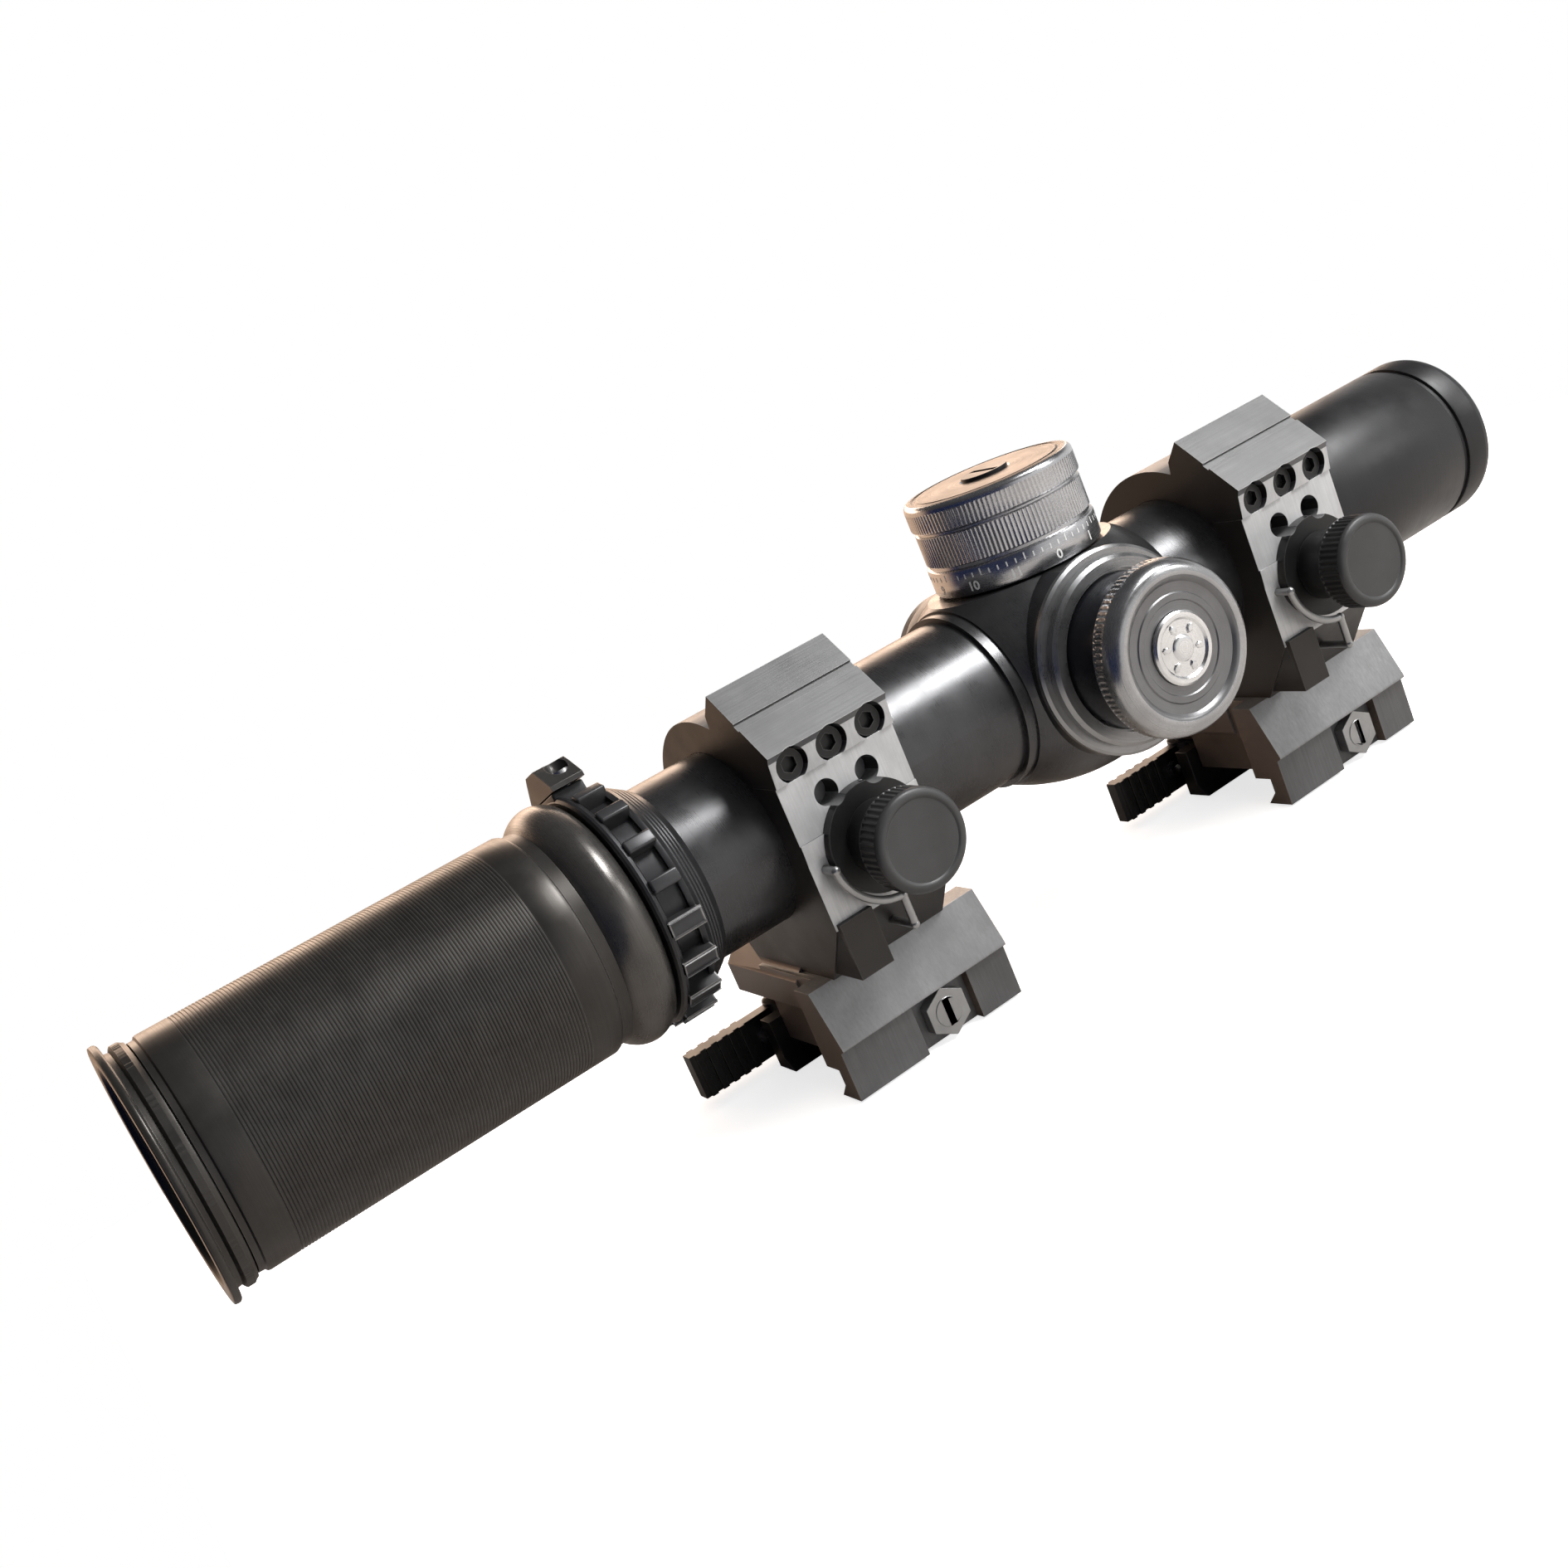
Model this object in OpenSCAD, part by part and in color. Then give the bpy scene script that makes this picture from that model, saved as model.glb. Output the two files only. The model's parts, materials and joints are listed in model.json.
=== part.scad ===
// Telescopic sight with a 30 mm tube, held in two quick-detach ring mounts.
// X is to the right of someone looking through the sight, Y is forward, Z is up.
// The origin is the middle of the rear mount's rail seat.

/* [Tube and lenses] */
// Outside radius of the main tube
tube_r = 15; // [14.8:0.1:15.2]
// Height of the optical axis above the rail's top face
axis_h = 38.1; // [38.1:0.1:40]
// Inside radius of the main tube
bore_r = 13.2; // [13:0.1:13.3]
// Y of the eyepiece's rear rim
eye_y = -109; // [-111:0.5:-109]
// Outside radius of the eyepiece barrel
eye_r = 18.5; // [18.4:0.1:19]
// Outside radius of the thin rim lip around the eyepiece
rim_r = 20; // [19.6:0.1:20.4]
// Y of the sight's front end
front_y = 157; // [156:0.5:159]
// Outside radius of the objective bell
bell_r = 15.9; // [15.6:0.1:16.1]
// Radius of the reversing lenses inside
cell_r = 8.35; // [8.3:0.01:8.36]

/* [Turrets] */
// Y of the three turrets
turret_y = 57.2; // [56.8:0.1:58]
// Greatest radius of the saddle that carries them
saddle_r = 21.6; // [21:0.1:22]
// Radius of the elevation knob's side
elevation_r = 14.7; // [14.5:0.1:15.2]
// Z of the elevation knob's top
elevation_top = 71.7; // [71:0.1:73]
// Radius of the windage knob's face
windage_r = 14.4; // [14:0.1:15]
// X of the windage knob's face
windage_x = 34; // [33.5:0.1:35]
// Radius of the illumination knob
illumination_r = 12.8; // [12.6:0.1:13]

/* [Ring mounts] */
// Distance between the two mounts, ten slots of the rail
ring_pitch = 100.07; // [100.07:0.001:100.08]
// Length of a ring along the tube
ring_len = 22.4; // [22:0.1:23]
// Outside radius of a ring's band
band_r = 20.3; // [20:0.1:20.6]
// X of the flat side wall
wall_x = 20; // [19.5:0.1:20.3]
// Z of the joint between side wall and cap
seam_z = 47.5; // [47.3:0.1:47.8]
// Length of the rail clamp along the rail
base_len = 34; // [33:0.5:36]
// How far the claws reach below the rail's top face
claw_drop = 5; // [4.6:0.1:5.2]
// Radius of the lock knob's head
knob_r = 7.9; // [7.5:0.1:8.2]
// X of the lock knob's face
knob_x = 34; // [32:0.5:35]

/* [Hidden] */
$fn = 96;
cut = 1;                       // how far a cutter runs past a face
fit = 0.05;                    // radial clearance of a turning or sliding fit
gap = 0.3;                     // clearance between parts that pass each other
half_ring = ring_len / 2;

// Eyepiece, in order from the rear
lip_len = 1.2;
rim_len = 4.4;
barrel_y0 = eye_y + rim_len + 0.2;
barrel_y1 = -43.6;
collar_y1 = -36.2;
collar_r = 20.1;
neck_r = 17.2;
cell_bore_r = 16;
ocular_r = 14.5;
tube_y0 = -50;
tube_y1 = 113;
spigot_r = 14.2;
spigot_y1 = 119;

// Magnification ring
zoom_y0 = -35.8;
zoom_y1 = -25;
zoom_rib_r = 20;
zoom_body_r = 18.4;
zoom_groove_r = 17.4;
zoom_flange_r = 19.5;
lever_top_r = 24.2;
lever_screw_x = 3.4;            // the two screws on each side of the lever's middle
lever_floor_z = axis_h + 19.82;
rib_count = 18;
rib_y0 = -34.6;
rib_y1 = -30.2;
zoom_lever_angle = -17;
drive_y = -32.3;
drive_r = 1.2;
drive_slot_half = 100;

// Reversing-lens group
erector_r = 9.6;
erector_bore_r = cell_r + fit;
erector_y0 = -40;
erector_y1 = 62;
cam_r = 10.9;
cam_y0 = -34.8;
cam_y1 = 14;
front_cell_y = -4;
rear_cell_y = -20;
gimbal_y = -37;
gimbal_half = 1.8;
gimbal_r = 12.5;
gimbal_bore_r = 10.2;
gimbal_pin_r = 1;

// Saddle and turrets
saddle_len = 37;
saddle_arc = 34.9;
boss_top = 54.6;
boss_x = 18;
flange_r = 17.4;               // round seat of the windage turret
seat_t = 2;
seat_r = 10.2;                 // seat hidden inside the elevation knob's skirt
screw_r = 3;
rim_band = 5;
rim_proud = 0.35;              // how far the elevation knob's rim stands out

// Ring mounts
pad_top = [10.5, 62.8];
pad_low = [21.6, 52.6];
tongue_x0 = 13.2;
tongue_x1 = 16.9;
tongue_z = 53;
flange_x = -25.6;
flange_t = 4.6;
cap_screw_step = 7.4;
near_screw_z = 49.9;
far_screw_x = -22.4;
flange_z = axis_h + flange_t;
near_head_r = 2.4;
far_head_r = 2.15;
pocket_r = 2.8;                // wide enough to notch the slanted pad's lower edge
pocket_x = 18.2;
side_hole_r = 2.1;
side_hole_z = 43.3;
base_y0 = -base_len / 2 + 1;
base_x = 14;
bar_x = 7;
deck_half = 12.6;
rail_half = 10.7;
rail_neck = 8.45;
housing_x0 = -22;
housing_z0 = 4.4;
housing_z1 = 16;
knob_y = 0.9;
knob_z = 33.8;
knob_neck_r = 5.9;
stud_r = 2.5;
boss_r = 8.8;
boss_face = 22;
wire_r = 0.65;
clip_r = 9.7;
clip_x = boss_face + 1;
clip_start = 185;
clip_end = 265;
clip_foot_z = 19;
elbow_r = wire_r + 0.1;
function clip_at(angle) = [knob_y + clip_r * cos(angle), knob_z + clip_r * sin(angle)];
bolt_y = 4.2;
bolt_z = -0.5;
bolt_r = 2.5;
pivot_x = -19;
pivot_y = -8;
pivot_r = 1.5;
hub_r = 3.2;
jaw_x0 = -13.9;
lever_screw_y = -13.6;
lever_z0 = -4.4;
lever_z1 = 4.1;

// Colours
tube_black = [0.10, 0.10, 0.11];
eyepiece_black = [0.14, 0.14, 0.14];
inner_black = [0.08, 0.08, 0.08];
knob_grey = [0.28, 0.28, 0.29];
silver = [0.6, 0.6, 0.61];
ring_grey = [0.36, 0.36, 0.37];
black = [0.06, 0.06, 0.06];
steel = [0.62, 0.62, 0.62];
brass = [0.55, 0.45, 0.25];
glass = [0.45, 0.55, 0.7];
seal_black = [0.04, 0.04, 0.04];

// ---------- helpers ----------

// Solid turned about the optical axis from [radius, y] points
module turned(points) {
    translate([0, 0, axis_h])
        rotate([-90, 0, 0])
            rotate_extrude() polygon(points);
}

// Solid turned about the elevation turret's vertical axis from [radius, z] points
module turned_up(points) {
    translate([0, turret_y, 0])
        rotate_extrude() polygon(points);
}

// Solid turned about the side turrets' axis from [radius, x] points; side is 1 or -1
module turned_side(points, side) {
    translate([0, turret_y, axis_h])
        rotate([0, 90 * side, 0])
            rotate_extrude() polygon(points);
}

// Cylinder along Y on the optical axis
module rod_y(r, y0, y1) {
    translate([0, y0, axis_h])
        rotate([-90, 0, 0]) cylinder(r = r, h = y1 - y0);
}

// Cylinder along X
module rod_x(r, x0, x1, y, z) {
    translate([x0, y, z])
        rotate([0, 90, 0]) cylinder(r = r, h = x1 - x0);
}

// Cylinder along Z
module rod_z(r, z0, z1, x, y) {
    translate([x, y, z0]) cylinder(r = r, h = z1 - z0);
}

// Box from its low and high corners
module block(a, b) {
    translate(a) cube(b - a);
}

// Outline in the XZ plane, extruded from y0 to y1
module slab_xz(points, y0, y1) {
    translate([0, y1, 0])
        rotate([90, 0, 0]) linear_extrude(y1 - y0) polygon(points);
}

// Outline in the YZ plane, extruded from x0 to x1
module slab_yz(points, x0, x1) {
    translate([x0, 0, 0])
        rotate([90, 0, 90]) linear_extrude(x1 - x0) polygon(points);
}

// Turn something about the optical axis
module about_axis(angle) {
    translate([0, 0, axis_h]) rotate([0, angle, 0]) translate([0, 0, -axis_h]) children();
}

// Lens with two convex faces of one radius, centred at y
module lens(r, y, thick, face_r) {
    translate([0, y, axis_h])
        rotate([-90, 0, 0]) rotate_extrude() intersection() {
            translate([0, -thick]) square([r, 2 * thick]);
            translate([0, face_r - thick / 2]) circle(r = face_r, $fn = 360);
            translate([0, thick / 2 - face_r]) circle(r = face_r, $fn = 360);
        }
}

// Hexagon socket along X, opening towards +X
module hex_socket_x(across, x0, x1, y, z) {
    translate([x0, y, z])
        rotate([0, 90, 0]) cylinder(r = across / 2 / cos(30), h = x1 - x0, $fn = 6);
}

// ---------- tube ----------

// Barrel-shaped saddle with round seats for the three turrets, cut flat at each seat
module saddle() {
    intersection() {
        union() {
            translate([0, turret_y, axis_h])
                rotate([-90, 0, 0]) rotate_extrude() intersection() {
                    translate([saddle_r - saddle_arc, 0]) circle(r = saddle_arc, $fn = 160);
                    translate([0, -saddle_len / 2]) square([saddle_r + cut, saddle_len]);
                }
            rod_z(elevation_r - 0.6, axis_h, boss_top, 0, turret_y);
            rod_x(flange_r, 0, boss_x, turret_y, axis_h);
            rod_x(illumination_r + 0.4, -boss_x, 0, turret_y, axis_h);
        }
        block([-boss_x, turret_y - saddle_len, 0], [boss_x, turret_y + saddle_len, boss_top]);
    }
}

module main_tube() {
    collar_y = turret_y - saddle_len / 2;
    color(tube_black) difference() {
        union() {
            rod_y(tube_r, tube_y0, tube_y1);
            rod_y(spigot_r, tube_y1 - cut, spigot_y1);
            rod_y(tube_r + 0.9, collar_y - 2, collar_y + cut);
            saddle();
        }
        rod_y(bore_r, tube_y0 - cut, spigot_y1 + cut);
        rod_z(screw_r + 2, axis_h + erector_r, boss_top + cut, 0, turret_y);
        rod_x(screw_r + 2, erector_r, boss_x + cut, turret_y, axis_h);
        rod_x(screw_r + 2, -boss_x - cut, -bore_r + cut, turret_y, axis_h);
        drive_slot();
        rod_x(gimbal_pin_r + fit, bore_r - cut, bore_r + 1.3, gimbal_y, axis_h);
        rod_x(gimbal_pin_r + fit, -bore_r - 1.3, -bore_r + cut, gimbal_y, axis_h);
    }
}

// Slot around the top of the tube that the drive screw travels in
module drive_slot() {
    translate([0, drive_y - drive_r - gap, axis_h])
        rotate([-90, 0, 0])
            rotate([0, 0, -90 - drive_slot_half])
                rotate_extrude(angle = 2 * drive_slot_half)
                    translate([bore_r - cut, 0])
                        square([tube_r - bore_r + 2 * cut, 2 * (drive_r + gap)]);
}

module objective_bell() {
    color(tube_black) turned([
        [spigot_r + 0.02, tube_y1 + 0.02], [bell_r - 0.5, tube_y1 + 0.02], [bell_r, tube_y1 + 0.6],
        [bell_r, front_y - 8], [bell_r - 0.6, front_y - 7.4], [bell_r - 0.6, front_y - 6.6],
        [13.9, front_y - 6.6], [13.9, front_y - 12],
        [13.3, front_y - 12], [13.3, spigot_y1 + 0.3], [spigot_r + 0.02, spigot_y1 + 0.3]
    ]);
}

module objective_lens() {
    color(glass) lens(13.85, front_y - 11.4, 5, 46);
}

module objective_retainer() {
    color(inner_black) turned([
        [12.4, front_y - 10.5], [13.88, front_y - 10.5], [13.88, front_y - 9.2], [12.4, front_y - 9.2]
    ]);
}

module front_bezel() {
    color(tube_black) turned([
        [14.2, front_y - 6.55], [bell_r - 0.5, front_y - 6.55], [bell_r, front_y - 6.2],
        [bell_r, front_y - 1.8], [bell_r - 0.2, front_y - 0.9], [bell_r - 0.6, front_y - 0.3],
        [bell_r - 1, front_y], [14.7, front_y], [14.2, front_y - 0.6]
    ]);
}

// ---------- eyepiece ----------

module eyepiece_housing() {
    color(eyepiece_black) turned([
        [cell_bore_r, eye_y + 3], [neck_r, eye_y + 3], [neck_r, barrel_y0],
        [eye_r - 0.5, barrel_y0], [eye_r - 0.5, barrel_y0 + 1.2], [eye_r, barrel_y0 + 1.5],
        [eye_r, barrel_y1 - 2.4], [eye_r - 0.6, barrel_y1 - 2.1], [eye_r - 0.6, barrel_y1],
        [tube_r + 0.02, barrel_y1], [tube_r + 0.02, tube_y0 + 0.4], [cell_bore_r, tube_y0 - 2]
    ]);
}

module eyepiece_collar() {
    color(eyepiece_black) turned([
        [tube_r + 0.02, barrel_y1 + 0.05], [eye_r - 0.5, barrel_y1 + 0.05], [eye_r + 0.6, barrel_y1 + 1.1],
        [collar_r - 0.3, barrel_y1 + 2.5], [collar_r, barrel_y1 + 4], [collar_r - 0.2, barrel_y1 + 5.4],
        [collar_r - 0.9, barrel_y1 + 6.7], [collar_r - 1.9, collar_y1], [tube_r + 0.02, collar_y1]
    ]);
}

module diopter_ring() {
    color(eyepiece_black) turned([
        [16.6, eye_y + 0.8], [17.4, eye_y], [rim_r - 0.2, eye_y], [rim_r, eye_y + 0.3],
        [rim_r, eye_y + lip_len], [eye_r - 0.3, eye_y + lip_len + 0.2], [eye_r - 0.3, eye_y + 2.3],
        [eye_r + 0.4, eye_y + 2.6], [eye_r + 0.4, eye_y + rim_len - 0.4], [eye_r, eye_y + rim_len],
        [neck_r + fit, eye_y + rim_len], [neck_r + fit, eye_y + 2.6], [16.6, eye_y + 2.6]
    ]);
}

module ocular_cell() {
    color(inner_black) turned([
        [ocular_r - 0.6, eye_y + 3.6], [cell_bore_r - fit, eye_y + 3.6], [cell_bore_r - fit, eye_y + 15],
        [ocular_r - 0.8, eye_y + 15], [ocular_r - 0.8, eye_y + 10.4], [ocular_r + 0.02, eye_y + 10.4],
        [ocular_r + 0.02, eye_y + 4.6], [ocular_r - 0.6, eye_y + 4.6]
    ]);
}

module ocular_lens() {
    color(glass) lens(ocular_r, eye_y + 7.5, 5.4, 42);
}

module field_lens() {
    color(glass) lens(cell_bore_r - 0.1, -62, 5, 60);
}

module field_retainer() {
    color(inner_black) turned([
        [14.4, -66.4], [cell_bore_r - 0.02, -66.4], [cell_bore_r - 0.02, -64.8], [14.4, -64.8]
    ]);
}

// ---------- magnification ring ----------

module zoom_rib(angle) {
    about_axis(angle)
        block([-1.1, rib_y0, axis_h + zoom_groove_r - 0.6], [1.1, rib_y1 + 0.6, axis_h + zoom_rib_r]);
}

module magnification_ring() {
    color(tube_black) difference() {
        union() {
            turned([
                [tube_r + fit, zoom_y0], [zoom_flange_r - 0.3, zoom_y0],
                [zoom_flange_r, zoom_y0 + 0.4], [zoom_flange_r, zoom_y0 + 1.5],
                [zoom_groove_r, zoom_y0 + 1.7], [zoom_groove_r, rib_y1],
                [zoom_body_r, rib_y1], [zoom_body_r, rib_y1 + 1], [zoom_body_r - 1.4, rib_y1 + 2.6],
                [zoom_body_r - 1.9, rib_y1 + 2.6], [zoom_body_r - 1.9, rib_y1 + 3.1],
                [zoom_body_r - 1.6, rib_y1 + 3.1], [zoom_body_r - 2.5, zoom_y1 - 1],
                [tube_r + 0.5, zoom_y1], [tube_r + fit, zoom_y1]
            ]);
            for (i = [1 : rib_count - 2]) zoom_rib(zoom_lever_angle + (i + 0.5) * 360 / rib_count);
            about_axis(zoom_lever_angle)
                block([-5, zoom_y0 + 0.02, axis_h + tube_r + 1], [5, rib_y1, axis_h + zoom_rib_r - 0.2]);
        }
        rod_y(tube_r + fit, zoom_y0 - cut, zoom_y1 + cut);
        about_axis(zoom_lever_angle) {
            rod_z(drive_r + 0.02, axis_h + tube_r, axis_h + zoom_rib_r + cut, 0, drive_y);
            for (x = [-lever_screw_x, lever_screw_x])
                rod_z(0.92, axis_h + tube_r + 1.4, axis_h + zoom_rib_r + cut, x, drive_y);
        }
    }
}

module zoom_lever() {
    top = axis_h + lever_top_r;
    floor_z = lever_floor_z;
    color(knob_grey) about_axis(zoom_lever_angle) difference() {
        slab_xz([[-6.4, floor_z], [6.4, floor_z], [6.4, floor_z + 0.8], [3.4, top - 0.9], [2.2, top],
                 [-2.2, top], [-3.4, top - 0.9], [-6.4, floor_z + 0.8]], zoom_y0 + 0.1, rib_y1 + 0.2);
        for (x = [-lever_screw_x, lever_screw_x]) {
            rod_z(1.02, floor_z - cut, top + cut, x, drive_y);
            rod_z(1.75, floor_z + 1.2, top + cut, x, drive_y);
        }
    }
}

module zoom_lever_screw() {
    floor_z = lever_floor_z;
    color(steel) about_axis(zoom_lever_angle)
        for (x = [-lever_screw_x, lever_screw_x]) difference() {
            union() {
                rod_z(0.9, axis_h + tube_r + 1.6, floor_z + 1.4, x, drive_y);
                rod_z(1.65, floor_z + 1.22, floor_z + 2.5, x, drive_y);
            }
            translate([x, drive_y, floor_z + 1.7]) cylinder(r = 0.85, h = 2, $fn = 6);
        }
}

module drive_screw() {
    color(steel) about_axis(zoom_lever_angle)
        rod_z(drive_r, axis_h + erector_r + 0.5, axis_h + zoom_rib_r - 0.5, 0, drive_y);
}

// ---------- reversing-lens group ----------

module gimbal_ring() {
    color(brass) union() {
        difference() {
            rod_y(gimbal_r, gimbal_y - gimbal_half, gimbal_y + gimbal_half);
            rod_y(gimbal_bore_r, gimbal_y - gimbal_half - cut, gimbal_y + gimbal_half + cut);
        }
        for (side = [-1, 1]) {
            rod_x(gimbal_pin_r, side > 0 ? gimbal_r - 0.5 : -bore_r - 0.9,
                  side > 0 ? bore_r + 0.9 : -gimbal_r + 0.5, gimbal_y, axis_h);
            rod_z(gimbal_pin_r, axis_h + (side > 0 ? erector_r - 0.9 : -gimbal_bore_r - 0.5),
                  axis_h + (side > 0 ? gimbal_bore_r + 0.5 : -erector_r + 0.9), 0, gimbal_y);
        }
    }
}

module erector_tube() {
    color(inner_black) difference() {
        rod_y(erector_r, erector_y0, erector_y1);
        rod_y(erector_bore_r, erector_y0 - cut, erector_y1 + cut);
        rod_z(gimbal_pin_r + fit, axis_h - erector_r - cut, axis_h + erector_r + cut, 0, gimbal_y);
    }
}

module cam_tube() {
    color(brass) difference() {
        rod_y(cam_r, cam_y0, cam_y1);
        rod_y(erector_r + fit, cam_y0 - cut, cam_y1 + cut);
        about_axis(zoom_lever_angle)
            rod_z(drive_r + gap, axis_h + erector_r - 0.5, axis_h + cam_r + cut, 0, drive_y);
    }
}

module lens_cell(y, len) {
    difference() {
        rod_y(cell_r, y - len / 2, y + len / 2);
        rod_y(6.8, y - len / 2 - cut, y + len / 2 + cut);
        rod_y(7.42, y - 2.2, y + len / 2 + cut);
    }
}

module front_lens_cell() {
    color(inner_black) lens_cell(front_cell_y, 8);
}

module front_erector_lens() {
    color(glass) lens(7.4, front_cell_y, 4, 24);
}

module rear_lens_cell() {
    color(inner_black) lens_cell(rear_cell_y, 8);
}

module rear_erector_lens() {
    color(glass) lens(7.4, rear_cell_y, 4, 24);
}

module reticle() {
    color(glass) rod_y(cell_r, erector_y0 + 5, erector_y0 + 6.6);
}

// Leaf spring below left of the reversing-lens group, opposite both adjusting screws
module erector_spring() {
    leaf = 0.5;
    y0 = 22;
    y1 = 64;
    low = -bore_r + 0.5;
    high = -erector_r - 0.7;
    color(steel) translate([0, 0, axis_h]) rotate([0, 45, 0])
        slab_yz([[y0, low], [y0 + 8, low], [y1 - 6, high - leaf], [y1, high - leaf - 0.6],
                 [y1, high - 0.6], [y1 - 6, high], [y0 + 8, low + leaf], [y0, low + leaf]], -2.6, 2.6);
}

// ---------- elevation turret ----------

module elevation_seat() {
    z0 = boss_top + 0.02;
    color(tube_black) turned_up([
        [screw_r + fit, z0 - 5], [screw_r + 1.95, z0 - 5], [screw_r + 1.95, z0], [seat_r, z0],
        [seat_r, z0 + seat_t], [9, z0 + seat_t], [9, elevation_top - 8],
        [screw_r + fit, elevation_top - 8]
    ]);
}

module elevation_seal() {
    color(seal_black) translate([0, turret_y, boss_top + seat_t + 1.4])
        rotate_extrude() translate([9.75, 0]) circle(r = 0.7, $fn = 32);
}

module elevation_knob() {
    z0 = boss_top + gap;
    rim_r1 = elevation_r + rim_proud;
    color(knob_grey) difference() {
        turned_up([
            [0, z0 + 4], [0, elevation_top], [rim_r1 - 1.4, elevation_top],
            [rim_r1 - 0.4, elevation_top - 0.4], [rim_r1, elevation_top - 1.3],
            [rim_r1, elevation_top - rim_band], [elevation_r - 0.1, elevation_top - rim_band - 0.4],
            [elevation_r, z0 + 5.4], [elevation_r - 0.35, z0 + 5.2], [elevation_r - 0.35, z0 + 4.8],
            [elevation_r + 0.1, z0 + 4.6], [elevation_r + 0.2, z0 + 0.6], [elevation_r - 0.3, z0], [0, z0]
        ]);
        rod_z(seat_r + gap, z0 - cut, elevation_top - 4, 0, turret_y);
        rod_z(4.2, elevation_top - 1.8, elevation_top + cut, 0, turret_y);
        rod_z(1.55, elevation_top - 5, elevation_top, 0, turret_y);
    }
}

module elevation_screw() {
    tip = axis_h + erector_r + gap;
    color(brass) rod_z(screw_r, tip, elevation_top - 8.6, 0, turret_y);
}

module elevation_lock_screw() {
    color(black) difference() {
        union() {
            rod_z(4.1, elevation_top - 1.75, elevation_top + 0.3, 0, turret_y);
            rod_z(1.5, elevation_top - 5, elevation_top - 1.7, 0, turret_y);
        }
        block([-3.6, turret_y - 0.6, elevation_top - 0.8], [3.6, turret_y + 0.6, elevation_top + cut]);
    }
}

// ---------- windage turret ----------

module windage_seat() {
    x0 = boss_x + 0.02;
    color(knob_grey) turned_side([
        [screw_r + fit, x0 - 4], [screw_r + 1.95, x0 - 4], [screw_r + 1.95, x0], [flange_r, x0],
        [flange_r, x0 + 0.8], [flange_r - 0.5, x0 + 1.2], [15.8, x0 + 1.2], [15.8, x0 + 2.6],
        [15.2, x0 + 3.2], [13.4, x0 + 3.2], [13.4, x0 + seat_t], [8, x0 + seat_t],
        [8, windage_x - 7], [screw_r + fit, windage_x - 7]
    ], 1);
}

module windage_knob() {
    x0 = boss_x + seat_t + 0.3;
    rim = windage_x - 5.6;
    color(silver) difference() {
        turned_side([
            [0, x0], [windage_r - 1.4, x0], [windage_r - 1.4, rim - 0.6], [windage_r - 0.5, rim],
            [windage_r, rim + 0.9], [windage_r, windage_x - 3], [windage_r - 0.5, windage_x - 1.5],
            [windage_r - 1.6, windage_x - 0.4], [windage_r - 2.8, windage_x], [windage_r - 3.6, windage_x],
            [windage_r - 4, windage_x - 0.7], [0, windage_x - 0.7]
        ], 1);
        rod_x(9.4, x0 - cut, windage_x - 4.4, turret_y, axis_h);
        rod_x(6.05, windage_x - 1.6, windage_x + cut, turret_y, axis_h);
    }
}

module windage_screw() {
    tip = erector_r + gap;
    color(brass) rod_x(screw_r, tip, windage_x - 7.6, turret_y, axis_h);
}

module windage_medallion() {
    color(silver) turned_side([
        [0, windage_x - 1.58], [6, windage_x - 1.58], [6, windage_x - 0.4], [5.4, windage_x - 0.1],
        [4.4, windage_x - 0.1], [4.1, windage_x - 0.5], [0, windage_x - 0.5]
    ], 1);
}

// ---------- illumination turret ----------

module illumination_seat() {
    x0 = boss_x + 0.02;
    color(tube_black) turned_side([
        [3.2, x0 - 4], [screw_r + 1.95, x0 - 4], [screw_r + 1.95, x0], [illumination_r, x0],
        [illumination_r, x0 + 1.5], [3.2, x0 + 1.5]
    ], -1);
}

module illumination_knob() {
    x0 = boss_x + 1.8;
    color(tube_black) turned_side([
        [3.5, x0], [illumination_r - 0.3, x0], [illumination_r, x0 + 0.3], [illumination_r, x0 + 8],
        [illumination_r - 0.3, x0 + 8.3], [10.6, x0 + 8.3], [10.6, x0 + 2.2], [3.5, x0 + 2.2]
    ], -1);
}

module battery() {
    x0 = boss_x + 4.3;
    color(steel) turned_side([
        [0, x0], [8.8, x0], [8.8, x0 + 0.4], [10, x0 + 0.4], [10, x0 + 3.2], [0, x0 + 3.2]
    ], -1);
}

module battery_cap() {
    x0 = boss_x + 8;
    color(tube_black) difference() {
        turned_side([
            [0, x0], [10.55, x0], [10.55, x0 + 2.3], [illumination_r - 0.6, x0 + 2.3],
            [illumination_r - 0.6, x0 + 4.4], [illumination_r - 1.2, x0 + 5], [0, x0 + 5]
        ], -1);
        block([-x0 - 6, turret_y - 7, axis_h - 0.7], [-x0 - 4, turret_y + 7, axis_h + 0.7]);
    }
}

// ---------- ring mount, drawn with its seat's middle at the origin ----------

module ring_band(z_low, z_high) {
    intersection() {
        rod_y(band_r, -half_ring, half_ring);
        block([-30, -20, z_low], [30, 20, z_high]);
    }
}

module far_flange(z0, z1) {
    block([flange_x, -half_ring, z0], [-15, half_ring, z1]);
}

module riser() {
    slab_xz([[-12, housing_z1 - 2], [-17.5, 24], [-17.5, 30], [wall_x, 30], [wall_x, 23.5], [12.2, 13.9],
             [0, 13.9]], -half_ring, half_ring);
}

module near_wall() {
    block([tongue_x0, -half_ring, 27], [wall_x, half_ring, seam_z - 0.05]);
    block([tongue_x0, -half_ring + 1.5, seam_z - cut], [tongue_x1, half_ring - 1.5, tongue_z]);
}

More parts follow.
